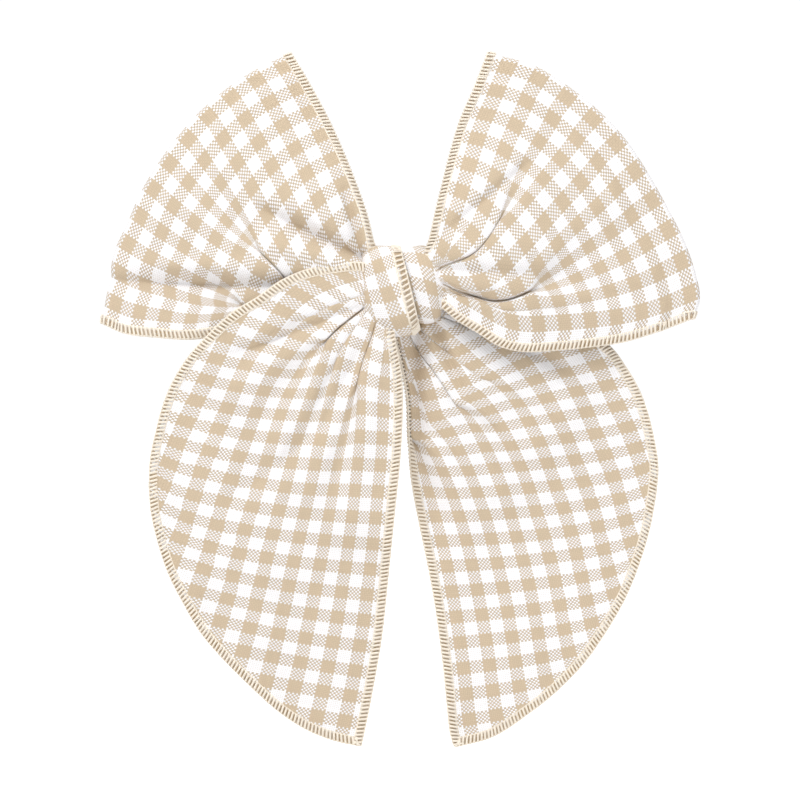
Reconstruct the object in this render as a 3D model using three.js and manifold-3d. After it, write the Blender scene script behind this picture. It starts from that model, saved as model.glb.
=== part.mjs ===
// A tied hair bow of serged gingham cotton on a spring clip, in millimetres.
// The bow stands upright: +X to its right, +Z up, and its front faces -Y.
// The origin is in the gap between the clip's jaws, straight behind the knot, where the hair is held.

import * as THREE from "three";
import { mergeVertices } from "three/addons/utils/BufferGeometryUtils.js";
import Module from "manifold-3d";

// ---- Driving dimensions ----

// Cloth
const CLOTH_THICKNESS = 1.2;
const EDGING_RADIUS = 0.8;
const EDGING_GAP = 1.2;
const RIM_GAP = 1.9;
const EDGE_INSET = 2 * EDGING_RADIUS + EDGING_GAP;
const PANEL_STEPS_OUT = 12;
const PANEL_STEPS_ACROSS = 8;

// Depth of each layer of the folded strip where it leaves the knot, front layers most negative
const DEPTH = {
  leftTail: -15.6,
  rightLoopFront: -12.8,
  leftLoopFront: -10.8,
  rightLoopBack: -9.4,
  leftLoopBack: -8.0,
  rightTail: -5.7,
};
const FOLD_DEPTH = -9.2;
const FOLD_HALF_GAP = 0.9;

// Knot
const KNOT_WRAP_THICKNESS = 1.5;
const KNOT_BACK = -3.6;
const KNOT_SIDES = 28;

// Clip
const ARM_THICKNESS = 0.8;
const FRONT_ARM_WIDTH = 8.0;
const REAR_ARM_WIDTH = 5.8;
const ARM_TIP_X = -30;
const ARM_END_X = 30;
const FRONT_ARM_INNER_Y = -0.75;
const PIVOT_X = 9;
const PIVOT_Y = 3.0;
const PIN_RADIUS = 0.9;
const PIN_HOLE_RADIUS = 1.0;
const PIN_HEAD_RADIUS = 1.5;
const PIN_HEAD_THICKNESS = 0.5;
const EAR_THICKNESS = 0.7;
const EAR_RADIUS = 2.3;
const EAR_ROOT_LIFT = 0.2;
const RUNNING_GAP = 0.3;
const REAR_JAW_Y = 2.2;
const REAR_BRIDGE_Y = 5.7;
const BRIDGE_OVERHANG = 3.0;
const LEVER_RISE = 0.5;
const LEVER_ANGLE = THREE.MathUtils.degToRad(27);
const LEVER_LENGTH = 19;
const TOOTH_START_X = -24;
const TOOTH_COUNT = 12;
const TOOTH_PITCH = 2.0;
const TOOTH_DEPTH = 0.9;
const TOOTH_TIP_Y = 0.05;
const RIBBON_THICKNESS = 0.4;
const RIBBON_GAP = 0.1;
const RIBBON_WIDTH = 9.4;
const RIBBON_TIP_ROOM = 0.4;
const RIBBON_TURN_X = 0.6;
const RIBBON_TURN_Y = 0.5;
const RIBBON_INNER_END_X = 3;
const RIBBON_OUTER_END_X = 28;
const GLUE_HALF_LENGTH = 8.5;
const GLUE_HALF_WIDTH = 4.2;
const GLUE_GAP = 0.3;

// Spring
const WIRE_RADIUS = 0.3;
const COIL_RADIUS = 1.75;
const COIL_TURNS = 3;
const COIL_PITCH = 0.8;
const COIL_STEPS = 12;
const LEG_TURN = 0.35;
const FRONT_LEG_SPAN = [12, 5];
const REAR_LEG_SPAN = [2, 9];
const REAR_LEG_OFFSET = 1.4;

// ---- Materials ----

const finish = (colour, roughness, metalness = 0) =>
  new THREE.MeshStandardMaterial({ color: colour, roughness, metalness });

const gingham = () => finish(0xdccbb0, 0.92);
const serging = () => finish(0xeee2cb, 0.85);
const steel = () => finish(0xc3c5c8, 0.32, 1.0);

// ---- Helpers ----

const at = (x, y, z) => new THREE.Vector3(x, y, z);

// A smooth curve through hand-set [x, z] points, its depth running from one value to another.
function edge(points, startDepth, endDepth) {
  const last = points.length - 1;
  const places = points.map(([x, z], i) =>
    at(x, THREE.MathUtils.lerp(startDepth, endDepth, i / last), z),
  );
  return new THREE.CatmullRomCurve3(places, false, "centripetal");
}

// A patch of cloth stretched between two edges (out from the knot), a root curve and a rim curve.
class ClothPatch {
  constructor({ first, second, root, rim, bulge }) {
    Object.assign(this, { first, second, root, rim, bulge });
    this.corners = [first.getPoint(0), second.getPoint(0), first.getPoint(1), second.getPoint(1)];
  }

  point(out, across) {
    const [rootFirst, rootSecond, rimFirst, rimSecond] = this.corners;
    const p = at(0, 0, 0)
      .addScaledVector(this.first.getPointAt(out), 1 - across)
      .addScaledVector(this.second.getPointAt(out), across)
      .addScaledVector(this.root.getPointAt(across), 1 - out)
      .addScaledVector(this.rim.getPointAt(across), out)
      .addScaledVector(rootFirst, -(1 - out) * (1 - across))
      .addScaledVector(rootSecond, -(1 - out) * across)
      .addScaledVector(rimFirst, -out * (1 - across))
      .addScaledVector(rimSecond, -out * across);
    p.y += this.bulge * Math.sin(Math.PI * out) * Math.sin(Math.PI * across);
    return p;
  }

  // The share of the width that stays the inset distance, square on, from one edge.
  edgeShare(reach, side, inset) {
    const near = this.point(reach, side);
    const over = this.point(reach, 1 - side).sub(near);
    const tangent = (side ? this.second : this.first).getTangentAt(reach);
    const slant = over.clone().normalize().cross(tangent).length();
    return Math.min(inset / (over.length() * Math.max(slant, 0.35)), 0.35);
  }

  // The share of the reach that stays the inset distance, square on, from the rim.
  rimShare(across, inset) {
    const stretch = 0.1;
    const run = this.point(1, across).sub(this.point(1 - stretch, across));
    const slant = run.clone().normalize().cross(this.rim.getTangentAt(across)).length();
    return (inset * stretch) / (run.length() * Math.max(slant, 0.3));
  }

  // The point a set distance in from both edges, and from the rim when that is bound too.
  insetPoint(out, across, inset, rimInset) {
    const reach = out * (1 - this.rimShare(across, rimInset));
    const low = this.edgeShare(reach, 0, inset);
    const high = 1 - this.edgeShare(reach, 1, inset);
    return this.point(reach, THREE.MathUtils.lerp(low, high, across));
  }
}

// A closed mesh from rows of points: quads between neighbours, wrapping round both ways where asked.
function skin(rows, wrapRows, capEnds) {
  const sides = rows[0].length;
  const position = rows.flat().flatMap((p) => [p.x, p.y, p.z]);
  const index = [];
  const bands = wrapRows ? rows.length : rows.length - 1;
  for (let r = 0; r < bands; r++) {
    const next = (r + 1) % rows.length;
    for (let s = 0; s < sides; s++) {
      const t = (s + 1) % sides;
      const [a, b] = [r * sides + s, r * sides + t];
      const [c, d] = [next * sides + t, next * sides + s];
      index.push(a, b, c, a, c, d);
    }
  }
  if (capEnds) {
    const start = (rows.length - 1) * sides;
    for (let s = 0; s < sides / 2 - 1; s++) {
      const [a, b, c, d] = [s, s + 1, sides - 2 - s, sides - 1 - s];
      index.push(a, c, b, a, d, c);
      index.push(start + a, start + b, start + c, start + a, start + c, start + d);
    }
  }
  const geometry = new THREE.BufferGeometry();
  geometry.setAttribute("position", new THREE.Float32BufferAttribute(position, 3));
  geometry.setIndex(index);
  return outward(geometry);
}

// Turns every face round when the mesh encloses a negative volume.
function outward(geometry) {
  const p = geometry.attributes.position;
  const index = geometry.index.array;
  const corner = (i) => new THREE.Vector3().fromBufferAttribute(p, index[i]);
  let volume = 0;
  for (let i = 0; i < index.length; i += 3) {
    volume += corner(i).dot(corner(i + 1).cross(corner(i + 2)));
  }
  if (volume < 0) index.reverse();
  geometry.computeVertexNormals();
  return geometry;
}

// A cloth layer as a thin closed slab: front face, far edge, back face and near edge in one loop per row.
function slab(patch, boundRim) {
  const rimInset = boundRim ? 2 * EDGING_RADIUS + RIM_GAP : 0;
  const half = CLOTH_THICKNESS / 2;
  const rows = [];
  for (let i = 0; i <= PANEL_STEPS_OUT; i++) {
    const out = i / PANEL_STEPS_OUT;
    const middle = [];
    for (let j = 0; j <= PANEL_STEPS_ACROSS; j++) {
      middle.push(patch.insetPoint(out, j / PANEL_STEPS_ACROSS, EDGE_INSET, rimInset));
    }
    const front = middle.map((p) => at(p.x, p.y - half, p.z));
    const back = middle.map((p) => at(p.x, p.y + half, p.z)).reverse();
    rows.push([...front, ...back]);
  }
  return skin(rows, false, true).toNonIndexed();
}

// A round cord along hand-set or computed places.
function cord(places, radius, sides, steps) {
  const path = new THREE.CatmullRomCurve3(places, false, "centripetal");
  const section = new THREE.Shape(
    new THREE.EllipseCurve(0, 0, radius, radius, 0, 2 * Math.PI).getPoints(sides).slice(0, sides),
  );
  return new THREE.ExtrudeGeometry(section, { steps, extrudePath: path, bevelEnabled: false });
}

// Rings of an oval sleeve round the X axis; each station gives x, top, bottom and front.
function ovals(stations, inset) {
  return stations.map(({ x, top, bottom, front }) => {
    const midZ = (top + bottom) / 2;
    const midY = (front + KNOT_BACK) / 2;
    const halfZ = (top - bottom) / 2 - inset;
    const halfY = (KNOT_BACK - front) / 2 - inset;
    const ring = [];
    for (let s = 0; s < KNOT_SIDES; s++) {
      const turn = (2 * Math.PI * s) / KNOT_SIDES;
      ring.push(at(x, midY + halfY * Math.cos(turn), midZ + halfZ * Math.sin(turn)));
    }
    return ring;
  });
}

const sleeve = (stations) =>
  skin([...ovals(stations, 0), ...ovals(stations, KNOT_WRAP_THICKNESS).reverse()], true, false);

// Joins closed geometries into one body.
const wasm = await Module();
wasm.setup();

function solid(geometry) {
  const bare = geometry.index ? geometry.toNonIndexed() : geometry.clone();
  bare.deleteAttribute("normal");
  bare.deleteAttribute("uv");
  const merged = mergeVertices(bare, 1e-4);
  return new wasm.Manifold(
    new wasm.Mesh({
      numProp: 3,
      vertProperties: merged.attributes.position.array,
      triVerts: new Uint32Array(merged.index.array),
    }),
  );
}

function joined(added, removed = []) {
  let body = added.map(solid).reduce((a, b) => a.add(b));
  for (const tool of removed) body = body.subtract(solid(tool));
  const { vertProperties, triVerts } = body.getMesh();
  const geometry = new THREE.BufferGeometry();
  geometry.setAttribute("position", new THREE.Float32BufferAttribute(vertProperties, 3));
  geometry.setIndex([...triVerts]);
  geometry.computeVertexNormals();
  return geometry;
}

// A side profile of [x, y] points drawn out along Z between two heights.
function profile(points, bottomZ, topZ) {
  const shape = new THREE.Shape(points.map(([x, y]) => new THREE.Vector2(x, y)));
  const geometry = new THREE.ExtrudeGeometry(shape, { depth: topZ - bottomZ, bevelEnabled: false });
  return geometry.translate(0, 0, bottomZ);
}

// A bent strip of even thickness along [x, y] places, drawn out along Z.
function bentStrip(line, thickness, width) {
  const places = line.map(([x, y]) => new THREE.Vector2(x, y));
  const runs = places.slice(1).map((p, i) => p.clone().sub(places[i]).normalize());
  const sides = places.map((p, i) => {
    const before = runs[Math.max(i - 1, 0)];
    const after = runs[Math.min(i, runs.length - 1)];
    const along = before.clone().add(after).normalize();
    return new THREE.Vector2(-along.y, along.x).multiplyScalar(thickness / 2 / along.dot(after));
  });
  const upper = places.map((p, i) => p.clone().add(sides[i]));
  const lower = places.map((p, i) => p.clone().sub(sides[i])).reverse();
  const outline = [...upper, ...lower].map((p) => [p.x, p.y]);
  return profile(outline, -width / 2, width / 2);
}

function cylinderAlongZ(radius, bottomZ, topZ, sides, x = PIVOT_X, y = PIVOT_Y) {
  return new THREE.CylinderGeometry(radius, radius, topZ - bottomZ, sides)
    .rotateX(Math.PI / 2)
    .translate(x, y, (bottomZ + topZ) / 2);
}

// ---- The folded strip: loops and tails ----

// Outlines in the bow's own plane, out from the knot
const LEFT_LOOP_UPPER = [[-12.2, 10], [-14.2, 30], [-18.5, 45], [-28.3, 60.8]];
const LEFT_LOOP_LOWER = [[-12.2, -2], [-30, -8.4], [-54, -12.4], [-77.2, -9.2]];
const LEFT_LOOP_FOLD = [[-28.3, 60.8], [-42.3, 53.7], [-56.7, 40.4], [-70.6, 16.9], [-77.2, -9.2]];
const LEFT_LOOP_ROOT = [[-12.2, 10], [-12.2, -2]];

const RIGHT_LOOP_UPPER = [[12.6, 11], [13.1, 30], [16.3, 45], [22.1, 60.9]];
const RIGHT_LOOP_LOWER = [[12.6, -5.5], [21, -12], [31.1, -15.9], [49.2, -14.7], [75.1, -7.7]];
const RIGHT_LOOP_FOLD = [[22.1, 60.9], [42, 53], [57.7, 38.6], [72.7, 12.7], [75.1, -7.7]];
const RIGHT_LOOP_ROOT = [[12.6, 11], [12.6, -5.5]];

const LEFT_TAIL_INNER = [[-1.4, -14.2], [-0.1, -32], [-2, -60], [-5.2, -91], [-10.6, -119.6]];
const LEFT_TAIL_OUTER = [[-12.4, 6.6], [-31.5, 1.9], [-49.5, -11.3], [-61.8, -29.4], [-65.8, -51.1]];
const LEFT_TAIL_RIM = [[-10.6, -119.6], [-32.6, -110.1], [-52.5, -89.6], [-63.3, -66.7], [-65.8, -51.1]];
const LEFT_TAIL_ROOT = [[-1.4, -14.2], [-8.4, -12.4], [-12.6, -7], [-12.4, 6.6]];

const RIGHT_TAIL_INNER = [[1.5, -14.2], [2.1, -38], [4.7, -61], [8.7, -81], [14.3, -119.8]];
const RIGHT_TAIL_OUTER = [[12.6, -3.5], [36, -5], [55.2, -15], [64.9, -31.8], [67.8, -48]];
const RIGHT_TAIL_RIM = [[14.3, -119.8], [32.4, -111.9], [54, -89.6], [65.5, -63.1], [67.8, -48]];
const RIGHT_TAIL_ROOT = [[1.5, -14.2], [8.2, -12.2], [12.4, -9], [12.6, -3.5]];

// Both layers of a loop, front and back, meeting at the fold.
function loop({ upper, lower, fold, root, frontDepth, backDepth, frontBulge, backBulge }) {
  const layer = (rootDepth, rimDepth, bulge) =>
    new ClothPatch({
      first: edge(upper, rootDepth, rimDepth),
      second: edge(lower, rootDepth, rimDepth),
      root: edge(root, rootDepth, rootDepth),
      rim: edge(fold, rimDepth, rimDepth),
      bulge,
    });
  return {
    front: layer(frontDepth, FOLD_DEPTH - FOLD_HALF_GAP, frontBulge),
    back: layer(backDepth, FOLD_DEPTH + FOLD_HALF_GAP, backBulge),
  };
}

// The serging round one open mouth of a loop: out along the front layer, round the fold and back.
function loopEdging({ front, back }, across) {
  const steps = 9;
  const run = (patch) =>
    Array.from({ length: steps }, (_, i) =>
      patch.insetPoint(i / (steps - 1), across, EDGING_RADIUS, 0),
    );
  return cord([...run(front), ...run(back).reverse()], EDGING_RADIUS, 6, 44);
}

// A tail is one layer, bound on its inner edge, round its cut end and back up its outer edge.
function tail({ inner, outer, rim, root, rootDepth, farDepth, rimDepth, bulge }) {
  return new ClothPatch({
    first: edge(inner, rootDepth, rimDepth),
    second: edge(outer, rootDepth, farDepth),
    root: edge(root, rootDepth, rootDepth),
    rim: edge(rim, rimDepth, farDepth),
    bulge,
  });
}

function tailEdging(patch) {
  const steps = 8;
  const line = (place) => Array.from({ length: steps }, (_, i) => place(i / (steps - 1)));
  const spot = (out, across) => patch.insetPoint(out, across, EDGING_RADIUS, EDGING_RADIUS);
  const tipClearance = 0.03;
  const cornerClearance = 0.015;
  return cord(
    [
      ...line((t) => spot(t * (1 - tipClearance), 0)),
      ...line((t) => spot(1, THREE.MathUtils.lerp(tipClearance, 1 - cornerClearance, t))),
      ...line((t) => spot((1 - cornerClearance) * (1 - t), 1)),
    ],
    EDGING_RADIUS,
    6,
    60,
  );
}

const leftLoop = loop({
  upper: LEFT_LOOP_UPPER,
  lower: LEFT_LOOP_LOWER,
  fold: LEFT_LOOP_FOLD,
  root: LEFT_LOOP_ROOT,
  frontDepth: DEPTH.leftLoopFront,
  backDepth: DEPTH.leftLoopBack,
  frontBulge: -4.5,
  backBulge: 3.4,
});

const rightLoop = loop({
  upper: RIGHT_LOOP_UPPER,
  lower: RIGHT_LOOP_LOWER,
  fold: RIGHT_LOOP_FOLD,
  root: RIGHT_LOOP_ROOT,
  frontDepth: DEPTH.rightLoopFront,
  backDepth: DEPTH.rightLoopBack,
  frontBulge: -4.5,
  backBulge: 1.8,
});

const leftTail = tail({
  inner: LEFT_TAIL_INNER,
  outer: LEFT_TAIL_OUTER,
  rim: LEFT_TAIL_RIM,
  root: LEFT_TAIL_ROOT,
  rootDepth: DEPTH.leftTail,
  farDepth: -13,
  rimDepth: -9,
  bulge: -1.5,
});

const rightTail = tail({
  inner: RIGHT_TAIL_INNER,
  outer: RIGHT_TAIL_OUTER,
  rim: RIGHT_TAIL_RIM,
  root: RIGHT_TAIL_ROOT,
  rootDepth: DEPTH.rightTail,
  farDepth: -4.2,
  rimDepth: -7.5,
  bulge: 0.6,
});

// ---- The pinched middle and the knot round it ----

const LEFT_LAP = [
  { x: -10.4, top: 9.8, bottom: -6.2, front: -16.6 },
  { x: -8.4, top: 11.2, bottom: -9.4, front: -18.6 },
  { x: -5, top: 11.6, bottom: -11.6, front: -19.8 },
  { x: -1, top: 10.9, bottom: -12.6, front: -20.2 },
  { x: 2.4, top: 10.7, bottom: -10.6, front: -19.6 },
];
const RIGHT_LAP = [
  { x: 5.2, top: 11.2, bottom: -9.6, front: -18.4 },
  { x: 8, top: 11.6, bottom: -8, front: -17.8 },
  { x: 10, top: 9.4, bottom: -6.4, front: -16.6 },
  { x: 11.2, top: 6.6, bottom: -4.4, front: -15 },
];
const NECK = [
  { x: -10, top: 7.2, bottom: -3.6, front: -14 },
  { x: -5, top: 7.8, bottom: -7.6, front: -16.2 },
  { x: 0, top: 7.3, bottom: -8.5, front: -16.4 },
  { x: 5, top: 8, bottom: -7, front: -15.4 },
  { x: 10.6, top: 4.2, bottom: -2, front: -12.6 },
];
const NECK_BACK_CLEARANCE = 3.2;
const THREAD_RADIUS = 0.3;
const THREAD_TURNS = 3;
const THREAD_HALF_BAND = 1.1;
const THREAD_CLEARANCE = 0.75;
const KNOT_EDGING_RADIUS = 0.9;
const KNOT_SEAM_X = 3.85;
const KNOT_SEAM_CENTRE = { y: -11.6, z: 0.4 };
const KNOT_SEAM_REACH = { y: 7.3, z: 10 };

function neckGeometry() {
  const rings = ovals(NECK, 0).map((ring, i) => {
    const { front } = NECK[i];
    const scale = (KNOT_BACK - NECK_BACK_CLEARANCE - front) / (KNOT_BACK - front);
    return ring.map((p) => at(p.x, front + (p.y - front) * scale, p.z));
  });
  return skin(rings, false, true);
}

// The gathering thread winds round the pinched middle, just clear of it.
function gatheringThread() {
  const perTurn = 14;
  const last = THREAD_TURNS * perTurn;
  const middle = NECK[2];
  const front = middle.front - THREAD_CLEARANCE;
  const back = KNOT_BACK - NECK_BACK_CLEARANCE + THREAD_CLEARANCE;
  const centreY = (back + front) / 2;
  const centreZ = (middle.top + middle.bottom) / 2;
  const halfY = (back - front) / 2;
  const halfZ = (middle.top - middle.bottom) / 2 + THREAD_CLEARANCE;
  const places = [];
  for (let i = 0; i <= last; i++) {
    const turn = (2 * Math.PI * i) / perTurn;
    const x = THREE.MathUtils.lerp(-THREAD_HALF_BAND, THREAD_HALF_BAND, i / last);
    places.push(at(x, centreY + halfY * Math.cos(turn), centreZ + halfZ * Math.sin(turn)));
  }
  return cord(places, THREAD_RADIUS, 6, 72);
}

// The serged edge of the knot's cloth, in the seam between its two laps.
function knotEdging() {
  const places = [];
  const stops = 22;
  for (let i = 0; i <= stops; i++) {
    const turn = THREE.MathUtils.lerp(0.5, 1.5, i / stops) * Math.PI;
    const y = KNOT_SEAM_CENTRE.y + KNOT_SEAM_REACH.y * Math.cos(turn);
    const z = KNOT_SEAM_CENTRE.z + KNOT_SEAM_REACH.z * Math.sin(turn);
    places.push(at(KNOT_SEAM_X, y, z));
  }
  return cord(places, KNOT_EDGING_RADIUS, 8, 26);
}

// ---- The clip ----

function ear(side, width, fromY) {
  const outer = (side * width) / 2;
  const inner = outer - side * EAR_THICKNESS;
  const [low, high] = [Math.min(outer, inner), Math.max(outer, inner)];
  const plate = new THREE.BoxGeometry(2 * EAR_RADIUS, Math.abs(PIVOT_Y - fromY), high - low);
  plate.translate(PIVOT_X, (PIVOT_Y + fromY) / 2, (low + high) / 2);
  return [plate, cylinderAlongZ(EAR_RADIUS, low, high, 24)];
}

const pinHole = () => cylinderAlongZ(PIN_HOLE_RADIUS, -FRONT_ARM_WIDTH, FRONT_ARM_WIDTH, 24);

function frontArm() {
  const outerY = FRONT_ARM_INNER_Y - ARM_THICKNESS;
  const round = FRONT_ARM_WIDTH / 2;
  const shape = new THREE.Shape();
  shape.moveTo(ARM_TIP_X + round, -round);
  shape.lineTo(ARM_END_X - round, -round);
  shape.absarc(ARM_END_X - round, 0, round, -Math.PI / 2, Math.PI / 2);
  shape.lineTo(ARM_TIP_X + round, round);
  shape.absarc(ARM_TIP_X + round, 0, round, Math.PI / 2, (3 * Math.PI) / 2);
  const options = { depth: ARM_THICKNESS, bevelEnabled: false, curveSegments: 12 };
  const plate = new THREE.ExtrudeGeometry(shape, options).rotateX(Math.PI / 2);
  plate.translate(0, outerY + ARM_THICKNESS, 0);
  const ears = [1, -1].flatMap((side) => ear(side, FRONT_ARM_WIDTH, outerY + ARM_THICKNESS / 2));
  return joined([plate, ...ears], [pinHole()]);
}

// The rear arm's side view: jaw, a step up over the spring, and the lever.
const LEVER_START = [PIVOT_X + BRIDGE_OVERHANG, REAR_BRIDGE_Y + LEVER_RISE];
const REAR_ARM_LINE = [
  [ARM_TIP_X + 0.5, 0.75],
  [-27.5, 1.2],
  [-24.5, REAR_JAW_Y],
  [1.5, REAR_JAW_Y],
  [5.6, REAR_BRIDGE_Y],
  LEVER_START,
  [
    LEVER_START[0] + LEVER_LENGTH * Math.cos(LEVER_ANGLE),
    LEVER_START[1] + LEVER_LENGTH * Math.sin(LEVER_ANGLE),
  ],
];

// A toothed flange down one side of the jaw.
function toothedFlange(side) {
  const outline = [[TOOTH_START_X, REAR_JAW_Y]];
  for (let i = 0; i < TOOTH_COUNT; i++) {
    const x = TOOTH_START_X + i * TOOTH_PITCH;
    outline.push([x, TOOTH_TIP_Y + TOOTH_DEPTH], [x + TOOTH_PITCH / 2, TOOTH_TIP_Y]);
  }
  const end = TOOTH_START_X + TOOTH_COUNT * TOOTH_PITCH;
  outline.push([end, TOOTH_TIP_Y + TOOTH_DEPTH], [end, REAR_JAW_Y]);
  const outer = (side * REAR_ARM_WIDTH) / 2;
  const inner = outer - side * EAR_THICKNESS;
  return profile(outline, Math.min(outer, inner), Math.max(outer, inner));
}

function rearArm() {
  const plate = bentStrip(REAR_ARM_LINE, ARM_THICKNESS, REAR_ARM_WIDTH);
  const sides = [1, -1];
  const ears = sides.flatMap((side) => ear(side, REAR_ARM_WIDTH, REAR_BRIDGE_Y + EAR_ROOT_LIFT));
  return joined([plate, ...sides.map(toothedFlange), ...ears], [pinHole()]);
}

function pin() {
  const reach = FRONT_ARM_WIDTH / 2 + RUNNING_GAP;
  const shaft = cylinderAlongZ(PIN_RADIUS, -reach, reach, 24);
  const heads = [-1, 1].map((side) => {
    const [a, b] = [side * reach, side * (reach + PIN_HEAD_THICKNESS)];
    return cylinderAlongZ(PIN_HEAD_RADIUS, Math.min(a, b), Math.max(a, b), 24);
  });
  return joined([shaft, ...heads]);
}

// A wire coil round the pin, with one leg on each arm's lever.
function spring() {
  const half = (COIL_TURNS * COIL_PITCH) / 2;
  const frontLegY = FRONT_ARM_INNER_Y + WIRE_RADIUS + RUNNING_GAP;
  const places = FRONT_LEG_SPAN.map((distance) => at(PIVOT_X + distance, frontLegY, -half));
  const last = Math.floor((COIL_TURNS + LEG_TURN) * COIL_STEPS);
  for (let i = 0; i <= last; i++) {
    const turn = -Math.PI / 2 - (2 * Math.PI * i) / COIL_STEPS;
    const x = PIVOT_X + COIL_RADIUS * Math.cos(turn);
    const y = PIVOT_Y + COIL_RADIUS * Math.sin(turn);
    places.push(at(x, y, THREE.MathUtils.lerp(-half, half, i / last)));
  }
  for (const distance of REAR_LEG_SPAN) {
    const x = distance * Math.cos(LEVER_ANGLE) + REAR_LEG_OFFSET * Math.sin(LEVER_ANGLE);
    const y = distance * Math.sin(LEVER_ANGLE) - REAR_LEG_OFFSET * Math.cos(LEVER_ANGLE);
    places.push(at(LEVER_START[0] + x, LEVER_START[1] + y, half));
  }
  return cord(places, WIRE_RADIUS, 6, 84);
}

// Ribbon folded round the front arm's tip, over both of its faces.
function liningRibbon() {
  const offset = RIBBON_GAP + RIBBON_THICKNESS / 2;
  const inside = FRONT_ARM_INNER_Y + offset;
  const outside = FRONT_ARM_INNER_Y - ARM_THICKNESS - offset;
  const tip = ARM_TIP_X - offset - RIBBON_TIP_ROOM;
  const line = [
    [RIBBON_INNER_END_X, inside],
    [tip + RIBBON_TURN_X, inside],
    [tip, inside - RIBBON_TURN_Y],
    [tip, outside + RIBBON_TURN_Y],
    [tip + RIBBON_TURN_X, outside],
    [RIBBON_OUTER_END_X, outside],
  ];
  return bentStrip(line, RIBBON_THICKNESS, RIBBON_WIDTH);
}

function gluePad() {
  const front = KNOT_BACK + GLUE_GAP;
  const ribbonFront = FRONT_ARM_INNER_Y - ARM_THICKNESS - RIBBON_GAP - RIBBON_THICKNESS;
  const back = ribbonFront - GLUE_GAP;
  const shape = new THREE.Shape();
  shape.absellipse(0, 0, GLUE_HALF_LENGTH, GLUE_HALF_WIDTH, 0, 2 * Math.PI);
  const options = { depth: back - front, bevelEnabled: false, curveSegments: 20 };
  return new THREE.ExtrudeGeometry(shape, options).rotateX(Math.PI / 2).translate(0, back, 0);
}

// ---- Assembly ----

const bow = new THREE.Group();

function add(name, geometry, material) {
  const mesh = new THREE.Mesh(geometry, material);
  mesh.name = name;
  bow.add(mesh);
}

add("right_tail", slab(rightTail, true), gingham());
add("left_loop_back", slab(leftLoop.back, false), gingham());
add("left_loop_front", slab(leftLoop.front, false), gingham());
add("right_loop_back", slab(rightLoop.back, false), gingham());
add("right_loop_front", slab(rightLoop.front, false), gingham());
add("left_tail", slab(leftTail, true), gingham());
add("right_tail_edging", tailEdging(rightTail), serging());
add("left_tail_edging", tailEdging(leftTail), serging());
add("left_loop_upper_edging", loopEdging(leftLoop, 0), serging());
add("left_loop_lower_edging", loopEdging(leftLoop, 1), serging());
add("right_loop_upper_edging", loopEdging(rightLoop, 0), serging());
add("right_loop_lower_edging", loopEdging(rightLoop, 1), serging());
add("gathered_neck", neckGeometry(), gingham());
add("gathering_thread", gatheringThread(), finish(0xf3ecdd, 0.7));
add("knot_left_lap", sleeve(LEFT_LAP), gingham());
add("knot_right_lap", sleeve(RIGHT_LAP), gingham());
add("knot_edging", knotEdging(), serging());
add("glue_pad", gluePad(), finish(0xe9e5d8, 0.35));
add("clip_front_arm", frontArm(), steel());
add("clip_rear_arm", rearArm(), steel());
add("clip_pin", pin(), steel());
add("clip_spring", spring(), steel());
add("clip_lining_ribbon", liningRibbon(), finish(0xe6d9c0, 0.8));

export default bow;
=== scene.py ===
"""A tied gingham hair bow on a sprung clip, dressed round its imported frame.

The bow stands upright with its front facing -Y. Lengths in the classes below are millimetres in the
bow's own frame, and become metres as a mesh is made.
"""

import logging
import math
from dataclasses import dataclass, field
from enum import Enum

import bmesh
import bpy
import numpy as np
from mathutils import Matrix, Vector, noise


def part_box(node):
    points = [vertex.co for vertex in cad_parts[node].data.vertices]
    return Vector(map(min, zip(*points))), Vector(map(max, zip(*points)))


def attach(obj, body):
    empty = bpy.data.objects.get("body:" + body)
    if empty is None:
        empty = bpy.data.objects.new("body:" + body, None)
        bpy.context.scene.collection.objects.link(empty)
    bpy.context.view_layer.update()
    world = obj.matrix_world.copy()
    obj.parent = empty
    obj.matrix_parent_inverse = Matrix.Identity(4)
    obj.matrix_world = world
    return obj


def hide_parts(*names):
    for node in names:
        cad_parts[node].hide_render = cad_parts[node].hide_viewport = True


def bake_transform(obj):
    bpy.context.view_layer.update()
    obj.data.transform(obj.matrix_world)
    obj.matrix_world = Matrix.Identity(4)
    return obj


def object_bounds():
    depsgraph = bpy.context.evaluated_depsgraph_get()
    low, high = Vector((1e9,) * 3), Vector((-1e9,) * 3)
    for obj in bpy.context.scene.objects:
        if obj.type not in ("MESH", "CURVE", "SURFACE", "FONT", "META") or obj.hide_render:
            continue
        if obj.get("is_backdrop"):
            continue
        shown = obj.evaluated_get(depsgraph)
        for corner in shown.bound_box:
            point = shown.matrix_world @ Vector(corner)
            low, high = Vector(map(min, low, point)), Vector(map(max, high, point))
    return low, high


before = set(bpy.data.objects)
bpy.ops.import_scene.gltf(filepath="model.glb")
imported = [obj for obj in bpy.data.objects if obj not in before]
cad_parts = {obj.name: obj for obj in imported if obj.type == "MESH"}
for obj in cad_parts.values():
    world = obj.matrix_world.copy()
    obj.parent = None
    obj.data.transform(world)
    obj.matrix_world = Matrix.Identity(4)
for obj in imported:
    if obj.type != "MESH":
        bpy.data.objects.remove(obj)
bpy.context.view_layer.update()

MM = 0.001
BOW_BODY = "bow"
REAR_BODY = "rear_arm"
CLOTH_UV = "cloth"
EDGE_MARK = "edge_distance"
FAR_FROM_EDGE = 50.0
UV_SPAN = 100.0
MERGE_WITHIN = 0.00002
CLIP_MERGE_WITHIN = 0.000004
SURFACE_LEVELS = 1
CREASE_FALLOFF = 1.5

Socket = bpy.types.NodeSocket
log = logging.getLogger("hair_bow")


# ---------------------------------------------------------------- curves and grids


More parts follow.
